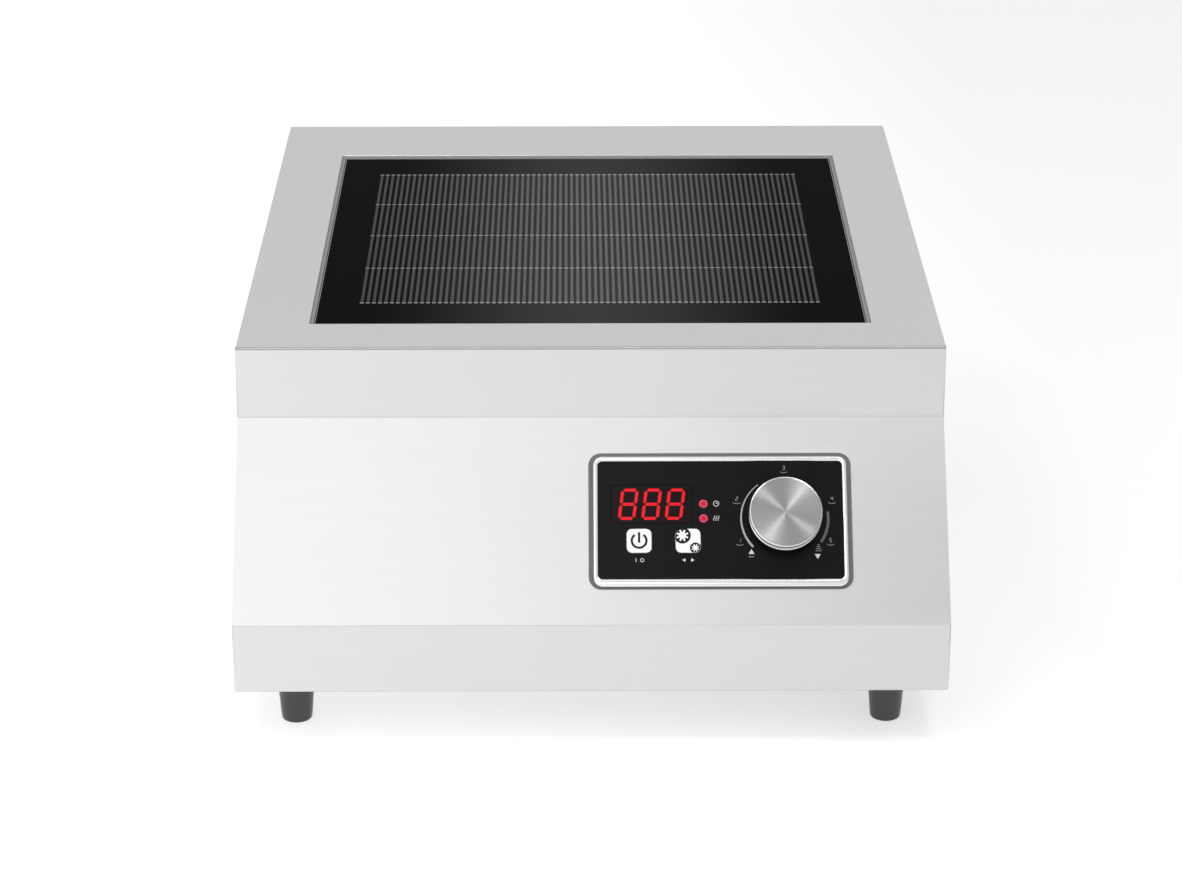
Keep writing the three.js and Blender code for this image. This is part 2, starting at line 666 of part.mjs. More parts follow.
// The board's posts start inside the housing's floor.
const postFoot = BOARD_BACK - 4.5;
const postHigh = BOARD_BACK - GAP - postFoot;
const boardPosts = [[-54, -24], [54, -24], [-54, 24], [54, 24]].map(([x, y]) =>
  rod(3, postHigh, x, y, postFoot, 8),
);
const housing = join(controlHousing(), ...boardPosts);

piece("control_bezel", controlBezel(), chrome, panel);
piece("control_overlay", controlOverlay(), overlayBlack, panel);
piece("control_housing", housing, blackPlastic, panel);
const controlBoard = block(116, 56, boardFace - BOARD_BACK, 0, 0, BOARD_BACK);
piece("control_board", controlBoard, boardGreen, panel);
const displayFoot = boardFace + GAP;
const displayHigh = OVERLAY_FACE - GAP - displayFoot;
const display = block(DISPLAY.w, DISPLAY.h, displayHigh, DISPLAY.x, DISPLAY.y, displayFoot);
piece("display_module", display, blackPlastic, panel);

for (const [name, y] of Object.entries(LAMP_Y)) {
  const tip = OVERLAY_FACE + 0.2;
  const lamp = turned(
    [
      [0, boardFace + GAP],
      [2.9, boardFace + GAP],
      [2.9, -1],
      [2.1, -1],
      [2.1, tip - 0.5],
      [1.4, tip],
      [0, tip],
    ],
    16,
  );
  piece(`${name}_lamp`, lamp.translate(LAMP_X, y, 0), lampRed, panel);
}

const switchTop = boardFace + 3.8;
const PLUNGER_TOP = switchTop + 1.6;

for (const [name, x] of Object.entries(KEY_X)) {
  const keyFace = OVERLAY_FACE + KEY_RISE;
  const cap = pulled(roundedRect(KEY_SIZE, KEY_SIZE, 2.7, x, KEY_Y), keyFace + 0.6, -0.6);
  const flange = block(KEY_SIZE + 2.6, KEY_SIZE + 2.6, 0.8, x, KEY_Y, -0.8);
  const stem = rod(2.2, -0.6 - PLUNGER_TOP - 0.1, x, KEY_Y, PLUNGER_TOP + 0.1, 10);
  piece(`${name}_key`, join(cap, flange, stem), whiteKey, panel);
  const body = cut(
    block(6, 6, switchTop - boardFace - GAP, x, KEY_Y, boardFace + GAP),
    rod(2, 2.6, x, KEY_Y, switchTop - 2, 12),
  );
  piece(`${name}_switch`, body, greyPlastic, panel);
  const sunk = 1.1; // how far the plunger reaches into its switch
  const plunger = rod(1.65, PLUNGER_TOP - switchTop + sunk, x, KEY_Y, switchTop - sunk, 10);
  piece(`${name}_plunger`, plunger, blackPlastic, panel);
}

// ---- Rotary control -------------------------------------------------------------------------------

const SHAFT = 3;
const BUSH = 4.2;
const bushTop = OVERLAY_FACE + 4.4;
const nutHigh = 2;
const capThick = 1.6;
const shaftEnd = boardFace + 2;
const shaftTip = KNOB_TOP - 4;

const encoder = cut(
  join(
    block(12.5, 13.2, 6.5, 0, 0, boardFace + GAP),
    rod(BUSH, bushTop - boardFace - 4, 0, 0, boardFace + 4, 20),
  ),
  rod(SHAFT + 0.3, 30, 0, 0, shaftEnd - GAP, 20),
);
const nut = hexNut(12, BUSH + 0.3, nutHigh).translate(0, 0, OVERLAY_FACE + GAP + nutHigh / 2);
// The shaft's upper end has the flat that keys it to the knob.
const shaft = cut(
  rod(SHAFT, shaftTip - shaftEnd, 0, 0, shaftEnd, 20),
  block(8, 4, 12, 0, SHAFT - 1.5 + 2, bushTop + 1),
);

const capInner = KNOB_RADIUS - capThick;
const capFoot = OVERLAY_FACE + 5.2;
const hubFoot = OVERLAY_FACE + 0.9;
const knobCap = turned(
  [
    [0, KNOB_TOP - capThick],
    [capInner, KNOB_TOP - capThick],
    [capInner, capFoot],
    [KNOB_RADIUS, capFoot],
    [KNOB_RADIUS, KNOB_TOP - 0.8],
    [KNOB_RADIUS - 0.8, KNOB_TOP],
    [0, KNOB_TOP],
  ],
  32,
);
const hubOuter = capInner - GAP;
const hubBore = SHAFT + 0.3;
const knobHub = turned(
  [
    [hubBore, bushTop + 0.8],
    [9, bushTop + 0.8],
    [9, hubFoot],
    [KNOB_RADIUS - 0.9, hubFoot],
    [KNOB_RADIUS - 0.9, capFoot - GAP],
    [hubOuter, capFoot - GAP],
    [hubOuter, KNOB_TOP - capThick - GAP],
    [hubBore, KNOB_TOP - capThick - GAP],
  ],
  32,
);

for (const [name, geometry, material] of [
  ["encoder_body", encoder, zincSteel],
  ["encoder_nut", nut, brass],
  ["encoder_shaft", shaft, zincSteel],
  ["knob_hub", knobHub, blackPlastic],
  ["knob_cap", knobCap, aluminium],
]) {
  piece(name, geometry.translate(KNOB_X, KNOB_Y, 0), material, panel);
}

export default hob;
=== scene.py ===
"""The looks of a countertop induction hob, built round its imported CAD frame. Metres, +Z up, +X to the cook's
right, -Y towards the cook."""
import json
import math

import bmesh
import bpy
from mathutils import Matrix, Vector


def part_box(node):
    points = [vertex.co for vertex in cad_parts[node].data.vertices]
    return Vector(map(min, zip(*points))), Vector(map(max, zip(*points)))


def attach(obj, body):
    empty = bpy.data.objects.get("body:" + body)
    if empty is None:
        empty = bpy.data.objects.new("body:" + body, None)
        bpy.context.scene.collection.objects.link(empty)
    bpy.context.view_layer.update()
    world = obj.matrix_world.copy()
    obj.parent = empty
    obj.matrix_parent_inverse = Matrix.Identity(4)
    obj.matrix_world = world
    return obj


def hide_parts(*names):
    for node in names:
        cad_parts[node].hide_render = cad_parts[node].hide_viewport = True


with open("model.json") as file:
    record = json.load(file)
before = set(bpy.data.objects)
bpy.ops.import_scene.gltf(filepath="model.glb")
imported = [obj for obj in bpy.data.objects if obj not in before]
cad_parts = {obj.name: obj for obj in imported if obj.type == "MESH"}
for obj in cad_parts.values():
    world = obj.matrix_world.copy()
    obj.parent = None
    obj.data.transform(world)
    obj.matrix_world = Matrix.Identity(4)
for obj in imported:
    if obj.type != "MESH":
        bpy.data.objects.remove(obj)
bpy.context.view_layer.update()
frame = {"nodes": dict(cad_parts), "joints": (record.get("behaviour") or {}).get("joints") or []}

MM = 0.001
CASING = "casing"
GAP = 0.3 * MM  # the clearance that the CAD leaves between pieces that touch


# ---- Places, from the frame

def points_of(node):
    """The rest positions of a CAD node's vertices."""
    return [v.co.copy() for v in frame["nodes"][node].data.vertices]


def near(a, b):
    return abs(a - b) < 0.05 * MM


def middle_of(node):
    low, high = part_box(node)
    return (low + high) / 2


def box_in(node, matrix):
    """Lowest and highest corner of a node, measured in the frame that matrix stands for."""
    inverse = matrix.inverted()
    local = [inverse @ p for p in points_of(node)]
    low = Vector([min(p[i] for p in local) for i in range(3)])
    high = Vector([max(p[i] for p in local) for i in range(3)])
    return low, high


shell_points = points_of("outer_shell")
shell_low, shell_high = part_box("outer_shell")
half_width, shell_rear_y, top_z = shell_high
front_y, bottom_z = shell_low.y, shell_low.z
top_front_y = min(p.y for p in shell_points if near(p.z, top_z))
slope_low_z = max(p.z for p in shell_points if near(p.y, front_y))
slope_high_z = min(p.z for p in shell_points if near(p.y, top_front_y))
glass_low, glass_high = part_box("glass_plate")
seal_low, seal_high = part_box("glass_seal")
hob_centre = (glass_low + glass_high) / 2

# The control panel's frame: +X right, +Y up the slope, +Z out of it, from the bezel's middle on the steel.
slope_normal = -Vector(next(j["axis"] for j in frame["joints"] if j["name"] == "knob_turn")).normalized()
slope_up = slope_normal.cross(Vector((1, 0, 0))).normalized()
panel_turn = Matrix((Vector((1, 0, 0)), slope_up, slope_normal)).transposed()
bezel_low, bezel_high = box_in("control_bezel", panel_turn)
bezel_middle = (bezel_low + bezel_high) / 2
panel_origin = panel_turn @ Vector((bezel_middle.x, bezel_middle.y, bezel_low.z - GAP))
panel_matrix = Matrix.Translation(panel_origin) @ panel_turn.to_4x4()


# ---- Materials

class Nodes:
    """A node tree, with short calls that add nodes."""

    def __init__(self, tree, coords):
        self.tree = tree
        self.coords = self.add("ShaderNodeTexCoord").outputs[coords]

    def put(self, socket, value):
        """Gives an input a value, or links it to an output."""
        if isinstance(value, bpy.types.NodeSocket):
            self.tree.links.new(value, socket)
        else:
            socket.default_value = value

    def add(self, kind, inputs=(), **settings):
        node = self.tree.nodes.new(kind)
        for key, value in settings.items():
            setattr(node, key, value)
        for key, value in dict(inputs).items():
            self.put(node.inputs[key], value)
        return node

    def noise(self, scale, detail=3.0):
        """Noise from 0 to 1, its scale in cycles per metre: one for each axis, or one for all."""
        scale = scale if isinstance(scale, tuple) else (scale, scale, scale)
        place = self.add("ShaderNodeMapping", {"Scale": scale, "Vector": self.coords}).outputs["Vector"]
        inputs = {"Scale": 1.0, "Detail": detail, "Vector": place}
        return self.add("ShaderNodeTexNoise", inputs).outputs["Fac"]

    def rings(self, scale, distortion, detail):
        """Fine rings round the Z axis."""
        inputs = {"Scale": scale, "Distortion": distortion, "Detail": detail, "Vector": self.coords}
        return self.add("ShaderNodeTexWave", inputs, wave_type="RINGS", rings_direction="Z").outputs["Fac"]

    def span(self, source, low, high, start=0.0, end=1.0, curve="LINEAR"):
        """Maps start to end onto low to high."""
        inputs = {"From Min": start, "From Max": end, "To Min": low, "To Max": high, "Value": source}
        return self.add("ShaderNodeMapRange", inputs, interpolation_type=curve).outputs["Result"]

    def ramp(self, source, *stops):
        """A colour ramp from (position, colour) stops."""
        node = self.add("ShaderNodeValToRGB", {"Fac": source})
        elements = node.color_ramp.elements
        while len(elements) < len(stops):
            elements.new(0.5)
        for element, (position, color) in zip(elements, stops):
            element.position = position
            element.color = (*color, 1)
        return node.outputs["Color"]

    def split(self, source):
        return self.add("ShaderNodeSeparateXYZ", {"Vector": source}).outputs

    def tone(self, color):
        return self.add("ShaderNodeRGBToBW", {"Color": color}).outputs["Val"]

    def math(self, operation, first, second=0.0):
        return self.add("ShaderNodeMath", {0: first, 1: second}, operation=operation).outputs["Value"]


class Graph(Nodes):
    """A material's nodes round its Principled shader."""

    def __init__(self, name, color, roughness, metallic=0.0):
        self.material = bpy.data.materials.new(name)
        self.material.use_nodes = True
        super().__init__(self.material.node_tree, "Object")
        self.shader = self.tree.nodes["Principled BSDF"]
        self.set("Base Color", (*color, 1))
        self.set("Roughness", roughness)
        self.set("Metallic", metallic)

    def set(self, socket, value):
        self.put(self.shader.inputs[socket], value)

    def bumped(self, source, depth):
        """Raises the surface by up to depth, and gives the finished material."""
        bump = self.add("ShaderNodeBump", {"Strength": 1.0, "Distance": depth, "Height": source})
        self.set("Normal", bump.outputs["Normal"])
        return self.material

    def vary(self, source, color, by):
        """Colours the surface a little darker and lighter than color."""
        dark = [c * (1 - by) for c in color]
        light = [min(1, c * (1 + by)) for c in color]
        self.set("Base Color", self.ramp(source, (0.25, dark), (0.75, light)))


def brushed(name, color, roughness, grain=1.0, anisotropic=0.45):
    """Sheet metal brushed along X, and along Y on the faces that look sideways."""
    g = Graph(name, color, roughness, 1.0)
    g.set("Anisotropic", anisotropic)
    normal = g.add("ShaderNodeNewGeometry").outputs["Normal"]
    side = g.math("GREATER_THAN", g.math("ABSOLUTE", g.split(normal)["X"]), 0.7)
    along, across = 14.0, 2000.0
    grains = {"A": g.noise((along, across, across)), "B": g.noise((across, along, across))}
    streaks = g.add("ShaderNodeMix", {"Factor": side, **grains}).outputs["Result"]
    tangent = g.add("ShaderNodeCombineXYZ", {"X": g.math("SUBTRACT", 1.0, side), "Y": side})
    g.set("Tangent", tangent.outputs["Vector"])
    cloudy = g.noise(9, 2.0)
    worn = g.math("ADD", g.math("MULTIPLY", streaks, 0.75), g.math("MULTIPLY", cloudy, 0.25))
    g.set("Roughness", g.span(worn, roughness - 0.07, roughness + 0.07))
    g.vary(worn, color, 0.035 * grain)
    return g.bumped(streaks, 0.012 * MM * grain)


def polished(name, color, roughness, by=0.02):
    """Plated or polished metal with faint handling marks."""
    g = Graph(name, color, roughness, 1.0)
    marks = g.noise(260, 4.0)
    g.set("Roughness", g.span(marks, roughness * (1 - 15 * by), roughness * (1 + 25 * by)))
    g.vary(marks, color, by)
    return g.material


def moulded(name, color, roughness, texture=0.02, pitch=0.5, shine=0.5):
    """Plastic or rubber with a fine moulded texture, its depth and pitch in millimetres."""
    g = Graph(name, color, roughness)
    g.set("Specular IOR Level", shine)
    skin = g.noise(1 / (pitch * MM), 2.0)
    cloudy = g.noise(60, 2.0)
    g.set("Roughness", g.span(cloudy, roughness - 0.05, roughness + 0.05))
    g.vary(cloudy, color, 0.06)
    return g.bumped(skin, texture * MM)


def glowing(name, color, strength):
    """A lit lens: a colour that also gives light."""
    g = Graph(name, color, 0.25)
    g.set("Specular IOR Level", 0.15)
    g.set("Emission Color", (*color, 1))
    g.set("Emission Strength", strength)
    return g.bumped(g.noise(900, 1.0), 0.004 * MM)


def galvanised(name):
    """Zinc-coated sheet with its spangle."""
    color = (0.5, 0.51, 0.52)
    g = Graph(name, color, 0.42, 1.0)
    spangle = g.tone(g.add("ShaderNodeTexVoronoi", {"Scale": 160, "Vector": g.coords}).outputs["Color"])
    g.set("Roughness", g.span(spangle, 0.38, 0.46))
    g.vary(spangle, color, 0.05)
    return g.bumped(spangle, 0.01 * MM)


def spun(name):
    """A spun aluminium face: fine rings about the local Z axis."""
    color = (0.35, 0.35, 0.355)
    g = Graph(name, color, 0.38, 1.0)
    g.set("Anisotropic", 0.93)
    g.set("Anisotropic Rotation", 0.25)
    g.set("Tangent", g.add("ShaderNodeTangent", direction_type="RADIAL", axis="Z").outputs["Tangent"])
    rings = g.rings(900, 0.6, 2)
    g.set("Roughness", g.span(rings, 0.32, 0.44))
    g.vary(rings, color, 0.07)
    return g.bumped(rings, 0.006 * MM)


def wound(name):
    """Enamelled copper strands, laid round the hob's middle."""
    color = (0.55, 0.2, 0.08)
    g = Graph(name, color, 0.35, 0.85)
    strands = g.rings(420, 1.5, 2)
    g.vary(strands, color, 0.25)
    return g.bumped(strands, 0.08 * MM)


def printed_board(name):
    """Green solder mask over faint tracks."""
    mask, shaded_mask, track = (0.012, 0.10, 0.045), (0.010, 0.085, 0.04), (0.03, 0.2, 0.09)
    g = Graph(name, mask, 0.35)
    inputs = {"Scale": 90, "Mortar Size": 0.08, "Vector": g.coords}
    inputs |= {"Color1": (*mask, 1), "Color2": (*shaded_mask, 1), "Mortar": (*track, 1)}
    tracks = g.add("ShaderNodeTexBrick", inputs).outputs
    g.set("Base Color", tracks["Color"])
    return g.bumped(tracks["Fac"], 0.03 * MM)


def painted_middle_sheen(name, edge, middle, ior):
    """The glass or the print on it, a little greyer along the hob's middle than at its sides: a painted
    reflection of the studio light.
    """
    g = Graph(name, edge, 0.1)
    g.set("IOR", ior)
    g.set("Roughness", g.span(g.noise(25, 2.0), 0.07, 0.13))
    # Painted reflection: the base colour lightens from the sides towards the hob's middle.
    aside = g.math("ABSOLUTE", g.split(g.coords)["X"])
    depth = g.span(aside, 1.0, 0.0, 0.0, 115 * MM, "SMOOTHSTEP")
    g.set("Base Color", g.ramp(depth, (0.0, edge), (1.0, middle)))
    return g.bumped(g.noise(400, 1.0), 0.001 * MM)


STEEL = brushed("brushed_steel", (0.63, 0.63, 0.635), 0.34)
# A darker steel for the top's front fold: painted shade.
FOLD_STEEL_PAINTED_SHADE = brushed("fold_steel_painted_shade", (0.38, 0.38, 0.383), 0.5)
GALVANISED = galvanised("galvanised_sheet")
ZINC = polished("zinc_plate", (0.62, 0.63, 0.64), 0.28)
RUBBER = moulded("foot_rubber", (0.042, 0.042, 0.045), 0.3, 0.015, 0.7)
NYLON = moulded("black_nylon", (0.018, 0.018, 0.019), 0.4, 0.012, 0.6)
# The glass and its printed grid carry a painted reflection, lighter along the hob's middle.
GLASS = painted_middle_sheen("ceramic_glass", (0.002, 0.002, 0.0022), (0.031, 0.031, 0.032), 1.026)
GROUND_EDGE = moulded("ground_glass_edge", (0.16, 0.16, 0.165), 0.35, 0.01, 0.3)
PRINT = painted_middle_sheen("glass_print", (0.030, 0.030, 0.031), (0.085, 0.085, 0.088), 1.09)
PRINT_LIGHT = painted_middle_sheen("glass_print_light", (0.14, 0.14, 0.142), (0.23, 0.23, 0.233), 1.1)
SILICONE = moulded("grey_silicone", (0.20, 0.20, 0.205), 0.5, 0.03, 2.5)
CHROME = polished("bezel_chrome", (0.82, 0.82, 0.825), 0.2, 0.003)
# A dark gasket under the bezel, there to paint the shadow round its rail.
PAINTED_SHADOW_GASKET = moulded("bezel_painted_shadow_gasket", (0.11, 0.11, 0.112), 0.5, 0.01, 0.6)
OVERLAY = moulded("gloss_overlay", (0.006, 0.006, 0.0065), 0.22, 0.002, 0.5, 0.09)
LEGEND = moulded("white_legend", (0.62, 0.62, 0.62), 0.5, 0.002, 0.4)
DIM_LEGEND = moulded("grey_legend", (0.22, 0.22, 0.225), 0.5, 0.002, 0.4)
ARC_LEGEND = moulded("arc_legend", (0.40, 0.40, 0.405), 0.5, 0.002, 0.4)
FAINT_LEGEND = moulded("faint_legend", (0.09, 0.09, 0.092), 0.5, 0.002, 0.4)
SMOKED = moulded("smoked_window", (0.008, 0.005, 0.0055), 0.16, 0.002, 0.8, 0.09)
SEGMENT = glowing("lit_segment", (0.58, 0.006, 0.012), 0.42)
LAMP_RIM = glowing("lamp_rim", (0.45, 0.06, 0.10), 0.3)
LAMP_CORE = glowing("lamp_core", (0.40, 0.006, 0.02), 0.5)
KEY_WHITE = moulded("white_key", (0.80, 0.80, 0.79), 0.38, 0.004, 0.5)
SYMBOL = moulded("key_symbol", (0.010, 0.010, 0.011), 0.4, 0.002, 0.5, 0.1)
KNOB_FACE = spun("spun_aluminium")
KNOB_SIDE = polished("turned_aluminium", (0.62, 0.62, 0.63), 0.2)
BLACK_PLASTIC = moulded("black_plastic", (0.018, 0.018, 0.018), 0.45, 0.015, 0.6)
FAN_PLASTIC = moulded("fan_plastic", (0.014, 0.014, 0.015), 0.4, 0.01, 0.8)
GREY_PLASTIC = moulded("grey_plastic", (0.20, 0.20, 0.21), 0.5, 0.015, 0.6)
CERAMIC = moulded("sensor_ceramic", (0.58, 0.56, 0.52), 0.55, 0.02, 0.8)
FERRITE = moulded("ferrite", (0.03, 0.03, 0.034), 0.5, 0.03, 0.9)
PHENOLIC = moulded("phenolic", (0.05, 0.036, 0.028), 0.5, 0.02, 1.2)
MICA = moulded("mica", (0.42, 0.34, 0.22), 0.45, 0.03, 3.0)
EPOXY = moulded("capacitor_epoxy", (0.02, 0.07, 0.26), 0.25, 0.01, 1.5)
ALUMINIUM = brushed("mill_aluminium", (0.62, 0.63, 0.64), 0.36, 0.7, 0.3)
COPPER = wound("copper_winding")
BRASS = polished("machined_brass", (0.62, 0.45, 0.18), 0.25)
BOARD = printed_board("circuit_board")


# ---- Mesh helpers

def inset_levels(w, h, corner, steps, section, follow=0.0):
    """Rounded rectangles for a stack, one for each (inset, z). The corners grow by follow times the inset."""
    return [
        (rounded_rect(w - 2 * inset, h - 2 * inset, corner + follow * inset, steps), z)
        for inset, z in section
    ]


def curve(centre, size, start, end, steps):
    """Points after the first along an ellipse, between two angles in degrees; size is its half axes."""
    points = []
    for step in range(1, steps + 1):
        angle = math.radians(start + (end - start) * step / steps)
        # Rounded so that a point on the axis, a pole, has a radius of exactly 0.
        x = round(centre[0] + size[0] * math.cos(angle), 9)
        points.append((x, centre[1] + size[1] * math.sin(angle)))
    return points


def rounded_rect(w, h, radius, steps=6, x=0.0, y=0.0):
    """Points anticlockwise round a rectangle with round corners."""
    points = []
    for corner in range(4):
        cx = x + (w / 2 - radius) * (1 if corner in (0, 3) else -1)
        cy = y + (h / 2 - radius) * (1 if corner in (0, 1) else -1)
        for step in range(steps + 1):
            angle = (corner + step / steps) * math.pi / 2
            points.append((cx + radius * math.cos(angle), cy + radius * math.sin(angle)))
    return points


def circle(radius, steps=32, x=0.0, y=0.0):
    angles = [2 * math.pi * i / steps for i in range(steps)]
    return [(x + radius * math.cos(angle), y + radius * math.sin(angle)) for angle in angles]


def filleted(points, radii, steps=4):
    """A closed outline with each corner rounded to its own radius, where 0 leaves it sharp."""
    outline = []
    for i, (corner, radius) in enumerate(zip(points, radii)):
        here = Vector(corner)
        if radius <= 0:
            outline.append(tuple(here))
            continue
        back = (Vector(points[i - 1]) - here).normalized()
        ahead = (Vector(points[(i + 1) % len(points)]) - here).normalized()
        half = back.angle(ahead) / 2
        reach = radius / math.tan(half)
        centre = here + (back + ahead).normalized() * (radius / math.sin(half))
        start = (here + back * reach - centre).normalized()
        end = (here + ahead * reach - centre).normalized()
        outline += [tuple(centre + start.slerp(end, step / steps) * radius) for step in range(steps + 1)]
    return outline


def add_loop(bm, outline, z):
    return [bm.verts.new((x, y, z)) for x, y in outline]


def bridge(bm, low, high):
    """Faces between two loops of the same length, the second further along."""
    count = len(low)
    for i in range(count):
        j = (i + 1) % count
        bm.faces.new((low[i], low[j], high[j], high[i]))


def add_stack(bm, levels):
    """A closed solid through outlines of equal length, as (outline, z) from its bottom to its top."""
    loops = [add_loop(bm, outline, z) for outline, z in levels]
    bm.faces.new(list(reversed(loops[0])))
    for low, high in zip(loops, loops[1:]):
        bridge(bm, low, high)
    bm.faces.new(loops[-1])


def add_ring_stack(bm, levels):
    """A closed ring whose section runs through (outline, z) levels and back to the first."""
    loops = [add_loop(bm, outline, z) for outline, z in levels]
    for low, high in zip(loops, loops[1:] + loops[:1]):
        bridge(bm, low, high)


def add_slab(bm, outline, low, high):
    add_stack(bm, [(outline, low), (outline, high)])


def add_box(bm, low, high):
    (x0, y0, z0), (x1, y1, z1) = low, high
    add_slab(bm, [(x0, y0), (x1, y0), (x1, y1), (x0, y1)], z0, z1)


def add_lathe(bm, profile, steps):
    """A solid of revolution about Z from (radius, z) points; a radius of 0 is a pole."""
    rows = [add_loop(bm, circle(r, steps), z) if r > 0 else [bm.verts.new((0, 0, z))] for r, z in profile]
    if profile[0][0] > 0:
        rows.append(rows[0])
    for low, high in zip(rows, rows[1:]):
        for i in range(steps):
            j = (i + 1) % steps
            corners = (low[i % len(low)], low[j % len(low)], high[j % len(high)], high[i % len(high)])
            bm.faces.new(dict.fromkeys(corners))


def new_object(name, data):
    thing = bpy.data.objects.new(name, data)
    bpy.context.scene.collection.objects.link(thing)
    return thing


def object_from(bm, name):
    bmesh.ops.recalc_face_normals(bm, faces=bm.faces)
    mesh = bpy.data.meshes.new(name)
    bm.to_mesh(mesh)
    bm.free()
    return new_object(name, mesh)


def made(name, add, *shape):
    """An object of one shape, added by one of the functions above."""
    bm = bmesh.new()
    add(bm, *shape)
    return object_from(bm, name)


def carved(thing, *cutters):
    """Takes the cutters away from thing, and leaves it as a plain mesh."""
    for cutter in cutters:
        step = thing.modifiers.new("cut", "BOOLEAN")
        step.operation = "DIFFERENCE"
        step.solver = "MANIFOLD"
        step.object = cutter
    bpy.context.view_layer.update()
    graph = bpy.context.evaluated_depsgraph_get()
    mesh = bpy.data.meshes.new_from_object(thing.evaluated_get(graph))
    thing.modifiers.clear()
    thing.data = mesh
    mesh.name = thing.name
    for cutter in cutters:
        bpy.data.objects.remove(cutter)


def punched(thing, outlines, low, high):
    """Cuts holes with these outlines through thing, along Z."""
    bm = bmesh.new()
    for outline in outlines:
        add_slab(bm, outline, low, high)
    carved(thing, object_from(bm, "holes"))


def softened(thing, width, angle=40.0):
    """Takes the edge off where faces meet at more than the angle."""
    bevel = thing.modifiers.new("soft_edges", "BEVEL")
    bevel.width = width
    bevel.segments = 1
    bevel.limit_method = "ANGLE"
    bevel.angle_limit = math.radians(angle)
    bevel.harden_normals = False


def finished(thing, material, slot, *replaced, body=CASING, angle=30.0, matrix=None):
    """Gives a made object its material, shading, place and body, and hides the nodes that it stands for. The
    slot is not used.
    """
    mesh = thing.data
    if material is not None:
        mesh.materials.clear()
        mesh.materials.append(material)
    mesh.polygons.foreach_set("use_smooth", [True] * len(mesh.polygons))
    mesh.set_sharp_from_angle(angle=math.radians(angle))
    weighted = thing.modifiers.new("weighted_normals", "WEIGHTED_NORMAL")
    weighted.keep_sharp = True
    if matrix is not None:
        thing.matrix_world = matrix
    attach(thing, body)
    if replaced:
        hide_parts(*replaced)


# ---- Camera, lights and floor

def add_camera():
    """A long lens, a little left of the middle and 22 degrees above the horizon."""
    data = bpy.data.cameras.new("camera")
    camera = new_object("camera", data)
    data.sensor_width = 36.0
    data.lens = 106.77
    pitch, yaw = math.radians(22.02), math.radians(0.348)
    left, back, above = 9.7 * MM, 1614.9 * MM, 602.1 * MM  # from the middle of the top's front edge
    camera.location = (-left, top_front_y - back, top_z + above)
    camera.rotation_euler = (math.pi / 2 - pitch, 0, -yaw)
    data.clip_start, data.clip_end = 0.05, 60
    bpy.context.scene.camera = camera


def add_area(name, place, target, size, radiance, along=(1, 0, 0)):
    """A soft box at place that looks at target, its longer side along a direction."""
    data = bpy.data.lights.new(name, "AREA")
    data.shape = "RECTANGLE"
    data.size, data.size_y = size
    data.energy = radiance * math.pi * size[0] * size[1]
    back = (Vector(place) - Vector(target)).normalized()
    up = back.cross(Vector(along)).normalized()
    turn = Matrix((up.cross(back), up, back)).transposed()
    new_object(name, data).matrix_world = Matrix.Translation(place) @ turn.to_4x4()


def sky_levels(sky):
    """How bright the sky is: in soft bands, with dark cards low at both sides."""
    direction = sky.split(sky.coords)
    bands = ((0.0, 0.95), (0.28, 0.69), (0.45, 1.03), (0.7, 0.84), (0.9, 0.54), (1.0, 0.8))
    level = sky.tone(sky.ramp(direction["Z"], *((z, (v, v, v)) for z, v in bands)))
    aside = sky.math("ABSOLUTE", direction["X"])
    outward = sky.span(aside, 0.0, 1.0, 0.72, 0.86, "SMOOTHSTEP")
    downward = sky.span(direction["Z"], 1.0, 0.0, 0.45, 0.65, "SMOOTHSTEP")
    card = sky.math("MULTIPLY", outward, downward)
    return sky.math("MULTIPLY", level, sky.span(card, 1.0, 0.25))


def add_studio():
    """A pale floor, the sky, two soft boxes, and two strip boxes over the knob."""
    world = bpy.data.worlds.new("studio")
    bpy.context.scene.world = world
    world.use_nodes = True
    sky = Nodes(world.node_tree, "Generated")
    sky.put(world.node_tree.nodes["Background"].inputs["Color"], sky_levels(sky))

    floor = made("floor", add_box, (-20, -20, -0.01), (20, 20, 0))
    grey = (0.5, 0.5, 0.5)
    g = Graph("pale_floor", grey, 0.7)
    g.set("Specular IOR Level", 0.1)
    # The floor glows, more on the left than on the right: painted light that lifts the shadows on the floor
    # and lights the steel from below.
    g.set("Emission Color", (1, 1, 1, 1))
    g.set("Emission Strength", g.span(g.split(g.coords)["X"], 0.74, 0.48, -0.3, 0.3))
    g.vary(g.noise(3, 2.0), grey, 0.004)
    floor.data.materials.append(g.material)

    add_area("key_left", (-0.42, -0.88, 0.72), (-0.25, -0.25, 0.05), (1.0, 0.7), 0.88)
    add_area("overhead", (0.0, 0.2, 1.9), (0, 0, 0), (1.6, 1.4), 0.25)
    for side, name in ((-1, "strip_left"), (1, "strip_right")):
        place = panel_origin + Vector((side * 0.40, -0.10, 1.05))
        add_area(name, place, panel_origin, (0.62, 0.12), 12.0, (side * 0.37, 0.70, -0.1))


add_camera()
add_studio()
bpy.context.scene.view_settings.view_transform = "Standard"
bpy.context.scene.view_settings.look = "None"


# ---- Casing

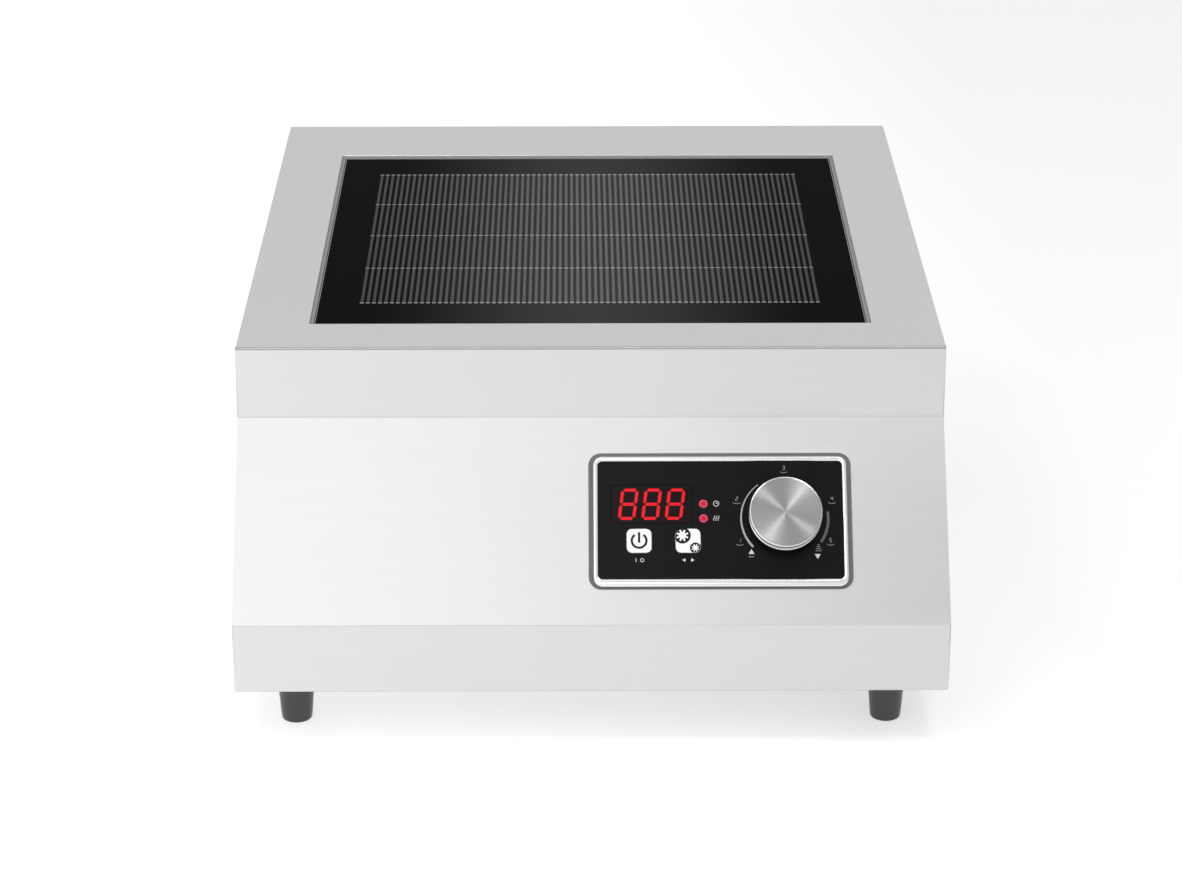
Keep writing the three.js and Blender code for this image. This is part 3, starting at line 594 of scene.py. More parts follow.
SHEET = 1.2 * MM
FOLD = 1.2 * MM  # outside radius of the folds
RETURN_FLANGE = 12 * MM
WINDOW = (112 * MM, 52 * MM)  # the hole behind the control panel
SLOT = 4 * MM  # width of every vent slot
SLOT_CORNER = 1.95 * MM
SLOT_PITCH = 9 * MM
SIDE_SLOTS = 11
SIDE_SLOT_LONG = 42 * MM
SIDE_SLOTS_Y, SIDE_SLOTS_Z = 96 * MM, 48 * MM  # their middle, and its height above the casing's foot
REAR_SLOT_ROWS = 8
REAR_SLOT_LONG = 62 * MM
REAR_SLOTS_X = (-40 * MM, 36 * MM, 112 * MM)
REAR_SLOTS_Z = 35 * MM
FAN_FIELD = 42 * MM  # radius of the slots under a fan
FOOT_PLACES = ("front_left", "front_right", "rear_left", "rear_right")
SIDEWAYS = Matrix(((0, 0, 1, 0), (1, 0, 0, 0), (0, 1, 0, 0), (0, 0, 0, 1)))  # x, y, z become Y, Z, X


def side_outline(inset, rear, bottom, slant_shift):
    """The casing's outline seen from its side, in Y and Z."""
    return [
        (front_y + inset, bottom),
        (rear, bottom),
        (rear, top_z - inset),
        (top_front_y + inset, top_z - inset),
        (top_front_y + inset, slope_high_z - slant_shift),
        (front_y + inset, slope_low_z - slant_shift),
    ]


def make_casing():
    """The folded shell, hollowed out, with openings for the glass, the control panel and the vents."""
    run, rise = top_front_y - front_y, slope_high_z - slope_low_z
    slant_shift = SHEET * (math.hypot(run, rise) - rise) / run
    folds = [FOLD, 0, 0, FOLD, FOLD * 1.5, FOLD]
    bm = bmesh.new()
    add_slab(bm, filleted(side_outline(0, shell_rear_y, bottom_z, 0), folds), -half_width, half_width)
    ends = [f for f in bm.faces if len(f.verts) > 4]
    rim = [e for f in ends for e in f.edges if not all(near(v.co.x, shell_rear_y) for v in e.verts)]
    bmesh.ops.bevel(bm, geom=rim, offset=1.0 * MM, segments=3, profile=0.5, affect="EDGES")
    bm.transform(SIDEWAYS)
    skin = object_from(bm, "casing_shell")

    # The cutters reach past the sheet by different distances, so that no two of them share a face.
    inner_x = half_width - SHEET
    inset = RETURN_FLANGE + SHEET
    mouth = half_width - inset
    foot, rear = bottom_z, shell_rear_y
    boxes = (
        ((-mouth, front_y + inset, foot - 2 * MM), (mouth, rear + 1 * MM, foot + 3 * MM)),
        ((-mouth, rear - 4 * MM, foot - 2 * MM), (mouth, rear + 4 * MM, top_z - inset)),
        ((-inner_x, rear - 3 * MM, foot - 3 * MM), (inner_x, rear + 2 * MM, foot + 3 * MM)),
    )
    bm = bmesh.new()
    add_slab(bm, side_outline(SHEET, rear - SHEET, foot + SHEET, slant_shift), -inner_x, inner_x)
    bm.transform(SIDEWAYS)
    cutters = [object_from(bm, "cavity")]
    cutters += [made("flange_cutter", add_box, low, high) for low, high in boxes]

    # The square opening, with its top edge dressed by a small chamfer.
    chamfer, play = 0.2 * MM, 0.1 * MM
    levels = []
    for grow, z in ((0, -5 * MM), (0, -chamfer), (chamfer, 0), (chamfer, 1 * MM)):
        x = seal_high.x + play + grow
        near_y, far_y = seal_low.y - play - grow, seal_high.y + play + grow
        levels.append(([(-x, near_y), (x, near_y), (x, far_y), (-x, far_y)], top_z + z))
    cutters.append(made("opening", add_stack, levels))

    bm = bmesh.new()
    add_slab(bm, rounded_rect(*WINDOW, 3 * MM), -6 * MM, 6 * MM)
    bm.transform(panel_matrix)
    cutters.append(object_from(bm, "window"))

    bm = bmesh.new()
    for i in range(SIDE_SLOTS):
        y = SIDE_SLOTS_Y + (i - (SIDE_SLOTS - 1) / 2) * SLOT_PITCH
        slot = rounded_rect(SLOT, SIDE_SLOT_LONG, SLOT_CORNER, 5, y, bottom_z + SIDE_SLOTS_Z)
        for x in (-half_width, half_width):
            add_slab(bm, slot, x - 3 * MM, x + 3 * MM)
    bm.transform(SIDEWAYS)
    cutters.append(object_from(bm, "slots"))
    carved(skin, *cutters)

    # The top's front fold gets a darker, rougher steel: painted shade that hides the fold's bright highlight.
    skin.data.materials.clear()
    skin.data.materials.append(STEEL)
    skin.data.materials.append(FOLD_STEEL_PAINTED_SHADE)
    for face in skin.data.polygons:
        in_fold = face.center.z > top_z - FOLD and face.center.y < top_front_y + FOLD
        if in_fold and face.normal.z > 0.1 and face.normal.y < -0.1:
            face.material_index = 1
    finished(skin, None, "casing_steel", "outer_shell")


def make_rear_panel():
    """The screwed-on back with its rows of slots and the hole for the cable gland."""
    low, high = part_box("rear_panel")
    middle = (low + high) / 2
    half = (high.y - low.y) / 2
    outline = rounded_rect(high.x - low.x, high.z - low.z, 1.5 * MM, 3)
    plate = made("rear_cover", add_slab, outline, -half, half)
    holes = []
    for row in range(REAR_SLOT_ROWS):
        z = bottom_z + REAR_SLOTS_Z + row * SLOT_PITCH - middle.z
        holes += [rounded_rect(REAR_SLOT_LONG, SLOT, SLOT_CORNER, 4, x, z) for x in REAR_SLOTS_X]
    gland = middle_of("gland_body")
    holes.append(circle(10.3 * MM, 40, gland.x, gland.z - middle.z))
    for i in range(1, 5):
        screw = middle_of(f"rear_screw_{i}")
        holes.append(circle(2.25 * MM, 20, screw.x, screw.z - middle.z))
    punched(plate, holes, -3 * MM, 3 * MM)
    softened(plate, 0.25 * MM)
    # The plate's x, y, z become X, Z, -Y.
    turn = Matrix(((1, 0, 0, 0), (0, 0, -1, 0), (0, 1, 0, 0), (0, 0, 0, 1)))
    finished(plate, STEEL, "casing_steel", "rear_panel", matrix=Matrix.Translation(middle) @ turn)


def make_base_plate():
    """The base with its pillars, its foot holes and a round field of slots under each fan."""
    low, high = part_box("base_plate")
    sheet_top = low.z + 1.5 * MM
    outline = rounded_rect(high.x - low.x, high.y - low.y, 3 * MM, 4, 0, (low.y + high.y) / 2)
    plate = made("base_cover", add_slab, outline, low.z, sheet_top)
    holes = []
    for side in ("left", "right"):
        fan = middle_of(f"fan_frame_{side}")
        for i in range(8):
            off = (i - 3.5) * SLOT_PITCH
            reach = 2 * math.sqrt(FAN_FIELD**2 - off**2) - 6 * MM
            holes.append(rounded_rect(reach, SLOT, SLOT_CORNER, 4, fan.x, fan.y + off))
    for place in FOOT_PLACES:
        foot = middle_of(f"foot_{place}")
        holes.append(circle(2.3 * MM, 24, foot.x, foot.y))
    punched(plate, holes, low.z - 2 * MM, sheet_top + 2 * MM)

    # A pillar under each corner of the power board.
    board_low, board_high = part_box("power_board")
    bm = bmesh.new()
    bm.from_mesh(plate.data)
    for x in (board_low.x + 6 * MM, board_high.x - 6 * MM):
        for y in (board_low.y + 6 * MM, board_high.y - 6 * MM):
            add_slab(bm, circle(3.2 * MM, 24, x, y), sheet_top - 0.2 * MM, high.z)
    bm.to_mesh(plate.data)
    bm.free()
    softened(plate, 0.25 * MM)
    finished(plate, GALVANISED, "base_steel", "base_plate")


def make_foot(place):
    """A tapered rubber foot with a rounded tread edge and a recess for its screw."""
    low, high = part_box(f"foot_{place}")
    top, outer = high.z, (high.x - low.x) / 2
    tread, waist, edge = 6.7 * MM, 7.65 * MM, 1.3 * MM
    profile = [(5.2 * MM, 0.3 * MM), (5.5 * MM, 0), (tread, 0)]
    profile += curve((tread, edge), (0.9 * MM, edge), -90, -6, 5)
    for step in range(1, 9):
        share = step / 8
        # The side flares a little more towards its top.
        grow = 0.7 * share + 0.3 * share**2
        radius = waist + 0.1 * MM + (outer - 0.25 * MM - waist) * grow
        profile.append((radius, edge + (top - 2.1 * MM) * share))
    profile += [(outer, top - 0.6 * MM), (outer, top - 0.15 * MM), (outer - 0.15 * MM, top)]
    profile += [(2.6 * MM, top), (2.6 * MM, 6 * MM), (4.9 * MM, 6 * MM), (5.2 * MM, 5.7 * MM)]
    foot = made(f"rubber_foot_{place}", add_lathe, profile, 64)
    matrix = Matrix.Translation(((low.x + high.x) / 2, (low.y + high.y) / 2, 0))
    finished(foot, RUBBER, "foot_rubber", f"foot_{place}", matrix=matrix)


def make_screw(name, node, head, head_high, shank, in_rear):
    """A pan-head screw with a cross recess. Its shank points up, or forward where it is in the rear."""
    low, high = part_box(node)
    middle = (low + high) / 2
    if in_rear:
        length = high.y - low.y - head_high
        at = Matrix.Translation((middle.x, high.y - head_high, middle.z))
        at @= Matrix.Rotation(math.pi / 2, 4, "X")
    else:
        length = high.z - low.z - head_high
        at = Matrix.Translation((middle.x, middle.y, low.z + head_high))
    profile = [(0, -head_high)]
    profile += curve((0, -0.45 * head_high), (head, 0.55 * head_high), -90, 0, 6)
    profile += [(head, -0.2 * MM), (head - 0.2 * MM, 0), (shank, 0), (shank, length - 0.6 * MM)]
    profile += [(shank - 0.6 * MM, length), (0, length)]
    screw = made(name, add_lathe, profile, 32)
    arm, thick = head * 0.62, head * 0.2
    for w, h in ((arm, thick), (thick, arm)):
        wide = [(-w, -h), (w, -h), (w, h), (-w, h)]
        narrow = [(x * 0.55, y * 0.55) for x, y in wide]
        levels = [(wide, -head_high - 1 * MM), (wide, -head_high), (narrow, -head_high * 0.25)]
        carved(screw, made("recess", add_stack, levels))
    finished(screw, ZINC, "fastener_zinc", node, matrix=at)


make_casing()
make_rear_panel()
make_base_plate()
for place in FOOT_PLACES:
    make_foot(place)
    make_screw(f"foot_bolt_{place}", f"foot_screw_{place}", 4.2 * MM, 2.6 * MM, 2 * MM, False)
for i in range(1, 5):
    make_screw(f"rear_bolt_{i}", f"rear_screw_{i}", 4 * MM, 2.4 * MM, 1.95 * MM, True)


# ---- Cable gland

def hexagon(angle, radius):
    """How much a point on the collar moves in, to square the collar off."""
    off_middle = (angle + math.pi / 6) % (math.pi / 3) - math.pi / 6
    return min(1, 12.1 * MM / math.cos(off_middle) / radius)


def grip_ribs(angle, radius):
    """How much a point on the nut moves in, to leave sixteen ribs."""
    return 1 - 0.05 * (0.5 + 0.5 * math.cos(16 * angle)) ** 3


def gland_piece(name, node, profile, steps, beyond, share, matrix):
    """A turned nylon piece, whose points beyond a radius move in to share(angle, radius) of theirs."""
    bm = bmesh.new()
    add_lathe(bm, profile, steps)
    for vert in bm.verts:
        radius = math.hypot(vert.co.x, vert.co.y)
        if radius > beyond:
            scale = share(math.atan2(vert.co.y, vert.co.x), radius)
            vert.co.x *= scale
            vert.co.y *= scale
    finished(object_from(bm, name), NYLON, "gland_nylon", node, matrix=matrix)


def make_gland():
    """The nylon gland: a threaded body with a chamfered hexagon, and a ribbed dome nut."""
    body_low, body_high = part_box("gland_body")
    nut_low, nut_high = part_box("gland_nut")
    axis = (nut_low + nut_high) / 2
    rear = body_high.y
    matrix = Matrix.Translation((axis.x, rear, axis.z)) @ Matrix.Rotation(-math.pi / 2, 4, "X")

    bore, tube, root, collar, inside = 6 * MM, 10 * MM, 9.4 * MM, 13.6 * MM, -6 * MM
    deep = body_low.y - rear
    profile = [(bore, deep), (tube - 0.5 * MM, deep)]
    for turn in range(6):
        z = deep + 0.5 * MM + turn * 1.5 * MM
        profile += [(tube, z), (tube, z + 0.4 * MM), (root, z + 0.75 * MM), (root, z + 1.1 * MM)]
    profile += [(root, inside), (collar - 2 * MM, inside), (collar, inside + 0.8 * MM), (collar, -0.8 * MM)]
    profile += [(12 * MM, 0), (bore, 0)]
    gland_piece("cable_gland", "gland_body", profile, 60, 11 * MM, hexagon, matrix)

    start, tip = nut_low.y - rear, nut_high.y - rear
    outer, shoulder, mouth = (nut_high.x - nut_low.x) / 2, start + 6 * MM, 8.4 * MM
    profile = [(bore + 0.4 * MM, start), (outer - 0.5 * MM, start), (outer, start + 0.5 * MM)]
    profile.append((outer, shoulder))
    profile += curve((mouth, shoulder), (outer - mouth, tip - shoulder), 0, 90, 8)
    profile += [(bore + 0.8 * MM, tip), (bore + 0.4 * MM, tip - 0.5 * MM)]
    gland_piece("gland_dome_nut", "gland_nut", profile, 96, outer - 0.2 * MM, grip_ribs, matrix)


make_gland()


# ---- Ceramic glass

def make_glass():
    """The glass with its ground edge, the printed grid on it and the bead of sealant round it."""
    size_x, size_y = glass_high.x - glass_low.x, glass_high.y - glass_low.y
    thick = glass_high.z - glass_low.z
    edge, top_edge = 0.5 * MM, 0.75 * MM
    section = [(edge, 0), (0, edge), (0, thick - 0.7 * MM), (0.25 * MM, thick - 0.25 * MM), (top_edge, thick)]
    levels = inset_levels(size_x, size_y, 2.5 * MM, 5, section, -1)
    plate = made("ceramic_plate", add_stack, levels)
    plate.data.materials.append(GLASS)
    plate.data.materials.append(GROUND_EDGE)
    for face in plate.data.polygons:
        if abs(face.normal.z) < 0.95:
            face.material_index = 1
    matrix = Matrix.Translation((hob_centre.x, hob_centre.y, glass_low.z))
    finished(plate, None, "ceramic_glass", "glass_plate", matrix=matrix)

    # The grid: columns of stripes in four rows, and a dash across each column at both ends of a row.
    pitch, columns = 3.06 * MM, 77
    row_pitch, rows = 53.5 * MM, 4
    half_stripe, gap = 0.725 * MM, 1.9 * MM
    half_dash_x, half_dash_y = 1.0 * MM, 1.1 * MM
    film = 0.03 * MM
    front = -rows / 2 * row_pitch + 1.4 * MM
    stripes, dashes = bmesh.new(), bmesh.new()
    for column in range(columns):
        x = (column - (columns - 1) / 2) * pitch
        for row in range(rows + 1):
            y = front + row * row_pitch
            add_box(dashes, (x - half_dash_x, y - half_dash_y, 0), (x + half_dash_x, y + half_dash_y, film))
            if row < rows:
                far = y + row_pitch - gap
                add_box(stripes, (x - half_stripe, y + gap, 0), (x + half_stripe, far, film))
    place = Matrix.Translation((hob_centre.x, hob_centre.y, glass_high.z + 0.005 * MM))
    finished(object_from(stripes, "printed_stripes"), PRINT, "ceramic_glass", matrix=place)
    finished(object_from(dashes, "printed_cross_lines"), PRINT_LIGHT, "ceramic_glass", matrix=place)

    # The bead slopes from the steel's edge down to the glass, a little hollow, as a finger leaves it.
    outer_x, outer_y = seal_high.x - seal_low.x, seal_high.y - seal_low.y
    width = (outer_x - size_x) / 2 - 0.1 * MM
    high, low = top_z - 0.15 * MM - seal_low.z, glass_high.z + 0.1 * MM - seal_low.z
    section = [(0, 0), (0, high)]
    for step in range(1, 7):
        share = step / 7
        section.append((width * share, high + (low - high) * share - 0.35 * MM * math.sin(math.pi * share)))
    section += [(width, low), (width, 0)]
    levels = inset_levels(outer_x, outer_y, 0.4 * MM, 5, section, 0.7)
    place = Matrix.Translation((hob_centre.x, hob_centre.y, seal_low.z))
    bead = made("sealant_bead", add_ring_stack, levels)
    finished(bead, SILICONE, "seal_silicone", "glass_seal", matrix=place)


make_glass()


# ---- Control panel, in millimetres

def panel_box(node):
    """Lowest and highest corner of a node in the control panel's own frame."""
    low, high = box_in(node, panel_matrix)
    return low / MM, high / MM


overlay_low, overlay_high = panel_box("control_overlay")
PLAY = GAP / MM
FACE = overlay_high.z  # the overlay's face
INK = 0.03  # thickness of what is printed
KEY_FLANGE = 1.3  # how far a key's flange, behind the overlay, reaches past its cap


def on_panel(thing, material, slot, *replaced, body=CASING, at=(0, 0), angle=30.0):
    """Finishes a piece made in the control panel's frame, moved to x, y on it."""
    thing.data.transform(Matrix.Scale(MM, 4))
    matrix = panel_matrix @ Matrix.Translation((at[0] * MM, at[1] * MM, 0))
    finished(thing, material, slot, *replaced, body=body, angle=angle, matrix=matrix)


def spot(node):
    """The x and y of a node's middle on the panel."""
    low, high = panel_box(node)
    return (low.x + high.x) / 2, (low.y + high.y) / 2


def make_bezel():
    """The plated frame: a rounded rail that drops to the overlay, standing on a dark gasket that paints the
    shadow round it.
    """
    low, high = panel_box("control_bezel")
    w, h = high.x - low.x, high.y - low.y
    top, foot = high.z, low.z
    # The rail is set back from the gasket's edge, least along the bottom.
    side, bottom, inside = 1.8, 0.7, 4.5
    outer = rounded_rect(w - 2 * side, h - side - bottom, 5, 8, 0, (bottom - side) / 2)
    inner = rounded_rect(w - 2 * inside, h - 2 * inside, 2.2, 8)

    def rail(share):
        """The outline at a share of the way from the rail's outer edge to its inner edge."""
        return [Vector(a).lerp(Vector(b), share) for a, b in zip(outer, inner)]

    crown, drop, ridge = 1.1, 0.7, 0.45
    section = [(0.04, foot), (0, foot + 0.15), (0, top - crown)]
    section += curve((ridge, top - crown), (ridge, crown), 180, 90, 6)
    section += curve((ridge, top - drop), (0.53, drop), 90, 10, 6)
    section.append((1, foot))
    frame_rail = made("panel_bezel", add_ring_stack, [(rail(share), z) for share, z in section])
    on_panel(frame_rail, CHROME, "bezel_chrome", "control_bezel")

    # The dark gasket's edge shows as a dark line between the rail and the steel: painted shadow, where the gap
    # round the rail is in shade.
    grow, under, thick = 0.2, 0.02, foot + 0.25
    edge = rounded_rect(w + 2 * grow, h + 2 * grow, 6 + grow, 8)
    levels = [(edge, under), (edge, thick), (rail(0.07), thick), (rail(0.07), under)]
    on_panel(made("bezel_painted_shadow_gasket", add_ring_stack, levels), PAINTED_SHADOW_GASKET, "gland_nylon")


def make_overlay():
    """The black overlay, with openings for the keys, display, lamps and knob."""
    w, h = overlay_high.x - overlay_low.x, overlay_high.y - overlay_low.y
    edge = 0.12
    levels = inset_levels(w, h, 2, 6, [(0, overlay_low.z), (0, FACE - edge), (edge, FACE)])
    sheet = made("control_overlay_sheet", add_stack, levels)
    holes = []
    for name in ("power", "select"):
        size = key_size(name) + 2 * PLAY
        holes.append(rounded_rect(size, size, 3, 8, *spot(f"{name}_key")))
    low, high = panel_box("display_module")
    w, h = high.x - low.x + 0.4, high.y - low.y + 0.4
    holes.append(rounded_rect(w, h, 0.8, 4, *spot("display_module")))
    holes += [circle(2.3, 40, *spot(f"{name}_lamp")) for name in ("time", "heat")]
    holes.append(circle(4.6, 40, *spot("knob_cap")))
    punched(sheet, holes, overlay_low.z - 1, FACE + 1)
    on_panel(sheet, OVERLAY, "overlay_gloss", "control_overlay")


def key_size(name):
    """The width of a key's square cap."""
    low, high = panel_box(f"{name}_key")
    return high.x - low.x - 2 * KEY_FLANGE


def add_bar(bm, x0, y0, x1, y1, thick, low, high):
    """A straight stroke from one point to another."""
    start, end = Vector((x0, y0)), Vector((x1, y1))
    along = (end - start).normalized()
    off = Vector((-along.y, along.x)) * thick / 2
    add_slab(bm, [start + off, start - off, end - off, end + off], low, high)


def add_arc(bm, x, y, radius, start, end, thick_start, thick_end, low, high, steps=48):
    """A curved stroke round x, y from one angle to another, in degrees, whose thickness may change."""
    sections = []
    for step in range(steps + 1):
        share = step / steps
        angle = math.radians(start + (end - start) * share)
        half = (thick_start + (thick_end - thick_start) * share) / 2
        corners = ((radius - half, low), (radius + half, low), (radius + half, high), (radius - half, high))
        right, up = math.cos(angle), math.sin(angle)
        sections.append([bm.verts.new((x + r * right, y + r * up, z)) for r, z in corners])
    for here, there in zip(sections, sections[1:]):
        bridge(bm, here, there)
    bm.faces.new(reversed(sections[0]))
    bm.faces.new(sections[-1])


# Each numeral's strokes, between six points: A and B at its top, C and D at its middle, E and F at its foot.
NUMERALS = {
    "1": "BD DF",
    "2": "AB BD CD CE EF",
    "3": "AB BD CD DF EF",
    "4": "AC CD BD DF",
    "5": "AB AC CD DF EF",
    "8": "AB BD DF EF CE AC CD",
}


def add_numeral(bm, text, x, y, w, h, thick, low, high, lean, gap=0.05):
    """A numeral centred on x, y, whose strokes are bars with pointed ends."""
    right, top = (w - thick) / 2, (h - thick) / 2
    places = [Vector((side, height)) for height in (top, 0, -top) for side in (-right, right)]
    for stroke in NUMERALS[text].split():
        first, last = (places["ABCDEF".index(letter)] for letter in stroke)
        along = (last - first).normalized()
        start, end = first + along * thick * gap, last - along * thick * gap
        tip = along * thick / 2
        off = Vector((-along.y, along.x)) * thick / 2
        shape = [start, start + tip - off, end - tip - off, end, end - tip + off, start + tip + off]
        add_slab(bm, [(x + p.x + lean * p.y, y + p.y) for p in shape], low, high)


def make_display():
    """The display module behind a smoked window, with three lit numerals that lean to the right."""
    low, high = panel_box("display_module")
    w, h, corner = high.x - low.x, high.y - low.y, 0.6
    at = spot("display_module")
    block = made("display_block", add_slab, rounded_rect(w, h, corner, 3), low.z, high.z - 0.02)
    on_panel(block, BLACK_PLASTIC, "display_face", "display_module", at=at)
    top, edge = FACE - 0.08, 0.05
    levels = inset_levels(w, h, corner, 3, [(0, high.z), (0, top - edge), (edge, top)])
    on_panel(made("display_window", add_stack, levels), SMOKED, "display_face", at=at)
    bm = bmesh.new()
    for i in (-1, 0, 1):
        add_numeral(bm, "8", i * 11.5, 0, 8.6, 16.0, 1.5, top, top + INK, 0.13, 0.24)
    on_panel(object_from(bm, "display_numerals"), SEGMENT, "lamp_red", at=at)


def make_lamp(name):
    """A small red lens with a brighter core."""
    foot = panel_box(f"{name}_lamp")[0].z
    at = spot(f"{name}_lamp")
    flange, lens, crown, shelf = 2.9, 2.1, FACE - 0.15, -1
    profile = [(0, foot), (flange, foot), (flange, shelf), (lens, shelf), (lens, crown)]
    profile += curve((lens - 0.55, crown), (0.55, 0.35), 0, 60, 4)
    rim = profile[-1][1]
    profile += [(1.35, rim), (0, rim)]
    on_panel(made(f"{name}_lens", add_lathe, profile, 40), LAMP_RIM, "lamp_red", f"{name}_lamp", at=at)
    core, seat = 1.3, rim + 0.01
    profile = [(0, seat), (core, seat), *curve((0, seat), (core, 0.25), 0, 90, 5)]
    on_panel(made(f"{name}_lens_core", add_lathe, profile, 40), LAMP_CORE, "lamp_red", at=at)


def make_key(name):
    """A white key with its flange and stem. Gives its place, its top and its size."""
    low, high = panel_box(f"{name}_key")
    size, flange, at, top = key_size(name), high.x - low.x, spot(f"{name}_key"), high.z
    bm = bmesh.new()
    section = [(0, -0.7), (0, top - 0.35), (0.1, top - 0.1), (0.35, top)]
    add_stack(bm, inset_levels(size, size, 2.7, 8, section, -1))
    add_slab(bm, rounded_rect(flange, flange, 1, 4), -0.8, -0.005)
    add_slab(bm, circle(2.2, 24), low.z, -0.7)
    cap = object_from(bm, f"{name}_key_cap")
    on_panel(cap, KEY_WHITE, "key_white", f"{name}_key", body=f"{name}_button", at=at)
    return at, top, size


def make_power_symbol(at, top):
    """The usual broken ring with a bar in its gap."""
    bm = bmesh.new()
    thick = 1.1
    add_arc(bm, 0, 0, 3.6, 126, 414, thick, thick, top, top + INK)
    add_bar(bm, 0, 4.3, 0, -1.0, thick, top, top + INK)
    on_panel(object_from(bm, "power_symbol"), SYMBOL, "key_white", body="power_button", at=at)


def gear_outline(x, y, root, tip, teeth=8):
    """The outline of a gear centred on x, y."""
    points = []
    for i in range(teeth):
        for share, radius in ((0.0, root), (0.22, root), (0.30, tip), (0.70, tip), (0.78, root)):
            angle = 2 * math.pi * (i + share) / teeth
            points.append((x + radius * math.cos(angle), y + radius * math.sin(angle)))
    return points


def inside_key(x, y, half, corner):
    """The point, pulled onto the key's rounded outline if it is beyond it."""
    x, y = max(-half, min(half, x)), max(-half, min(half, y))
    cx, cy = math.copysign(half - corner, x), math.copysign(half - corner, y)
    dx, dy = x - cx, y - cy
    reach = math.hypot(dx, dy)
    if dx * x > 0 and dy * y > 0 and reach > corner:
        return cx + dx * corner / reach, cy + dy * corner / reach
    return x, y


def make_select_symbol(at, top, size):
    """A large gear in the key's upper left corner and a small one in its lower right corner."""
    half, corner = size / 2 - 0.1, 2.6
    dark, light = bmesh.new(), bmesh.new()
    for x, y, field, root, tip in ((-2.8, 2.6, 4.1, 1.85, 3.0), (3.5, -3.7, 2.7, 1.1, 1.95)):
        ring = [inside_key(*point, half, corner) for point in circle(field, 72, x, y)]
        add_slab(dark, ring, top, top + INK)
        add_slab(light, gear_outline(x, y, root, tip), top + INK, top + 2 * INK)
    on_panel(object_from(dark, "select_symbol_field"), SYMBOL, "key_white", body="select_button", at=at)
    on_panel(object_from(light, "select_symbol_gears"), KEY_WHITE, "key_white", body="select_button", at=at)


def make_legends(knob_x, knob_y):
    """The dial round the knob and small pictograms in place of words."""
    low, high = FACE + 0.003, FACE + INK
    bright, dim = bmesh.new(), bmesh.new()

    def arc(bm, x, y, radius, start, end, thick, steps=48, thick_end=None):
        add_arc(bm, x, y, radius, start, end, thick, thick_end or thick, low, high, steps)

    def bar(bm, x, y, from_x, from_y, to_x, to_y, thick):
        add_bar(bm, x + from_x, y + from_y, x + to_x, y + to_y, thick, low, high)

    def triangle(x, y, *corners):
        add_slab(bright, [(x + a, y + b) for a, b in corners], low, high)

    for name, material, start, end, thick, thick_end in (
        ("rising_arc", ARC_LEGEND, 223, 127, 1.15, 0.35),
        ("falling_arc", FAINT_LEGEND, 9, -35, 1.25, 1.35),
    ):
        bm = bmesh.new()
        arc(bm, knob_x, knob_y, 21.4, start, end, thick, thick_end=thick_end)
        on_panel(object_from(bm, name), material, "overlay_gloss")
    dial = 25.2  # radius of the numerals' ring
    for text, angle in (("1", 208), ("2", 158), ("3", 90), ("4", 22), ("5", -28)):
        x = knob_x + dial * math.cos(math.radians(angle))
        y = knob_y + dial * math.sin(math.radians(angle))
        add_numeral(dim, text, x, y + 0.5, 1.3, 2.3, 0.32, low, high, 0.1)
        arc(dim, x, y + 0.9, 2.9, 232, 308, 0.28, 10)
    # At the dial's ends: a triangle over a bar for the lowest setting, bars over a triangle for the highest.
    triangle(knob_x - 16.6, knob_y - 17.2, (-1.5, -1.0), (1.5, -1.0), (0, 1.5))
    triangle(knob_x + 15.8, knob_y - 19.3, (-1.5, 1.0), (1.5, 1.0), (0, -1.5))
    bar(dim, knob_x, knob_y, -18.0, -19.6, -15.2, -19.6, 0.4)
    for i in range(4):
        half, y = 1.5 - 0.3 * i, -16.6 + 1.0 * i
        bar(dim, knob_x, knob_y, 16.3 - half, y, 16.3 + half, y, 0.35)

    # Beside the lamps: a clock face, and three rising waves.
    x, y = panel_box("time_lamp")[1].x + 3.4, spot("time_lamp")[1]
    arc(bright, x, y, 1.35, 0, 360, 0.28, 32)
    bar(bright, x, y, 0, 0, 0, 0.9, 0.25)
    bar(bright, x, y, 0, 0, 0.7, 0, 0.25)
    y = spot("heat_lamp")[1]
    for wave_x in (x - 1.1, x, x + 1.1):
        arc(bright, wave_x - 0.45, y + 0.62, 0.72, -58, 58, 0.26, 10)
        arc(bright, wave_x + 0.32, y - 0.62, 0.72, 122, 238, 0.26, 10)

    # Under the keys: a bar and a ring for on and off, and two arrowheads for choosing.
    y = overlay_low.y + 9.6
    x = spot("power_key")[0]
    bar(bright, x, y, -1.6, -0.9, -1.6, 0.9, 0.35)
    arc(bright, x + 1.4, y, 0.85, 0, 360, 0.3, 28)
    for way in (-1, 1):
        triangle(spot("select_key")[0], y, (way * 3.0, 0), (way * 1.4, 0.9), (way * 1.4, -0.9))
    on_panel(object_from(bright, "bright_legends"), LEGEND, "overlay_gloss")
    on_panel(object_from(dim, "dial_legends"), DIM_LEGEND, "overlay_gloss")


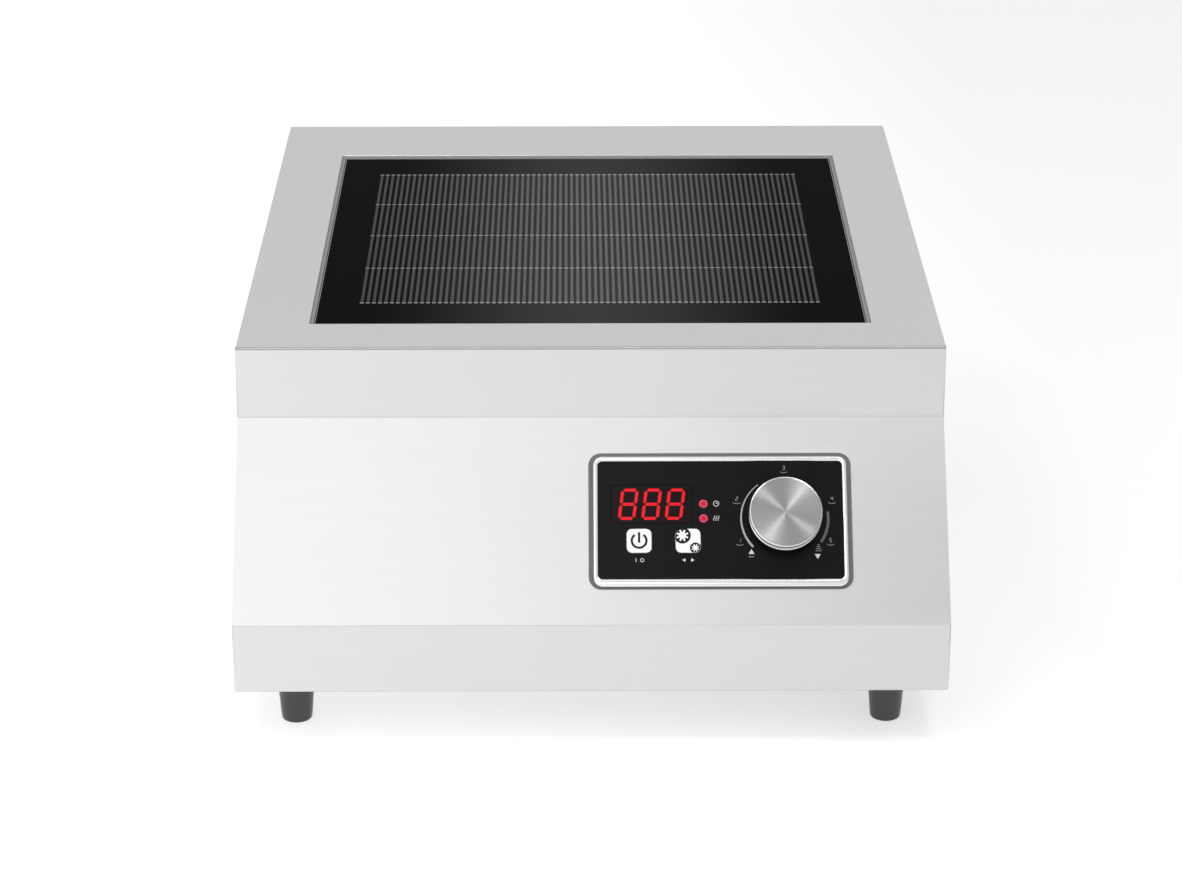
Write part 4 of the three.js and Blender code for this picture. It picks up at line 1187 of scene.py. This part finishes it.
def make_knob():
    """The knob: a spun aluminium cap with a bright lip over a black hub."""
    low, high = panel_box("knob_cap")
    hub_low, hub_high = panel_box("knob_hub")
    at = spot("knob_cap")
    top, foot = high.z, low.z
    radius = (high.x - low.x) / 2
    wall, inner, lip, skin = radius - 0.55, radius - 1.6, 0.75, 1.6
    profile = [(0, top - skin), (inner, top - skin), (inner, foot), (radius - 0.3, foot)]
    profile += [(radius, foot + 0.3), (radius, foot + 0.9), (radius - 0.2, foot + 1.15)]
    profile += [(wall, foot + 1.3), (wall, top - 2.2), (wall + 0.1, top - 1.9)]
    profile += [(radius, top - 1.7), (radius, top - lip)]
    profile += curve((radius - lip, top - lip), (lip, lip), 0, 70, 3)
    profile.append((radius - 0.85, top))
    cap = made("knob_shell", add_lathe, profile, 128)
    on_panel(cap, KNOB_SIDE, "knob_aluminium", "knob_cap", body="control_knob", at=at, angle=25)

    # The spun face is a thin disc let into the cap, dished a little at its centre.
    rim, under, over, dish = radius - 1.05, top - 0.02, top + 0.05, 0.03
    profile = [(0, under), (radius - 0.95, under), (rim, over)]
    profile += [(rim * share, over - dish * (1 - share**2)) for share in (0.75, 0.5, 0.25, 0.1, 0.0)]
    face = made("knob_face", add_lathe, profile, 128)
    on_panel(face, KNOB_FACE, "knob_aluminium", body="control_knob", at=at)

    skirt, waist, bore, stem, ceiling = (hub_high.x - hub_low.x) / 2, inner - PLAY, 3.3, 9, 7.2
    profile = [(bore, ceiling), (stem, ceiling), (stem, hub_low.z), (skirt - 0.3, hub_low.z)]
    profile += [(skirt, hub_low.z + 0.3), (skirt, foot - PLAY), (waist, foot - PLAY)]
    profile += [(waist, hub_high.z), (bore, hub_high.z)]
    hub = made("knob_core", add_lathe, profile, 96)
    on_panel(hub, BLACK_PLASTIC, "knob_black", "knob_hub", body="control_knob", at=at)


make_bezel()
make_overlay()
make_display()
for lamp in ("time", "heat"):
    make_lamp(lamp)
make_power_symbol(*make_key("power")[:2])
make_select_symbol(*make_key("select"))
make_knob()
make_legends(*spot("knob_cap"))


# ---- CAD nodes that keep their own shape

KEPT = (
    (STEEL, "glass_frame"),
    (NYLON, "gland_locknut"),
    (MICA, "mica_disc"),
    (COPPER, "induction_coil choke"),
    (PHENOLIC, "coil_carrier"),
    (CERAMIC, "temperature_sensor"),
    (ALUMINIUM, "coil_shield heatsink"),
    (BOARD, "power_board control_board"),
    (BLACK_PLASTIC, "igbt bridge_rectifier control_housing power_plunger select_plunger"),
    (EPOXY, "resonant_capacitor filter_capacitor"),
    (GREY_PLASTIC, "terminal_block power_switch select_switch"),
    (ZINC, "encoder_body encoder_shaft"),
    (BRASS, "encoder_nut"),
    (FERRITE, "ferrite_bar_1 ferrite_bar_2 ferrite_bar_3 ferrite_bar_4"),
    (FAN_PLASTIC, "fan_frame_left fan_frame_right fan_rotor_left fan_rotor_right"),
)

for material, names in KEPT:
    for name in names.split():
        node = frame["nodes"][name]
        for slot in node.material_slots:
            slot.material = material
        softened(node, 0.3 * MM, 50)
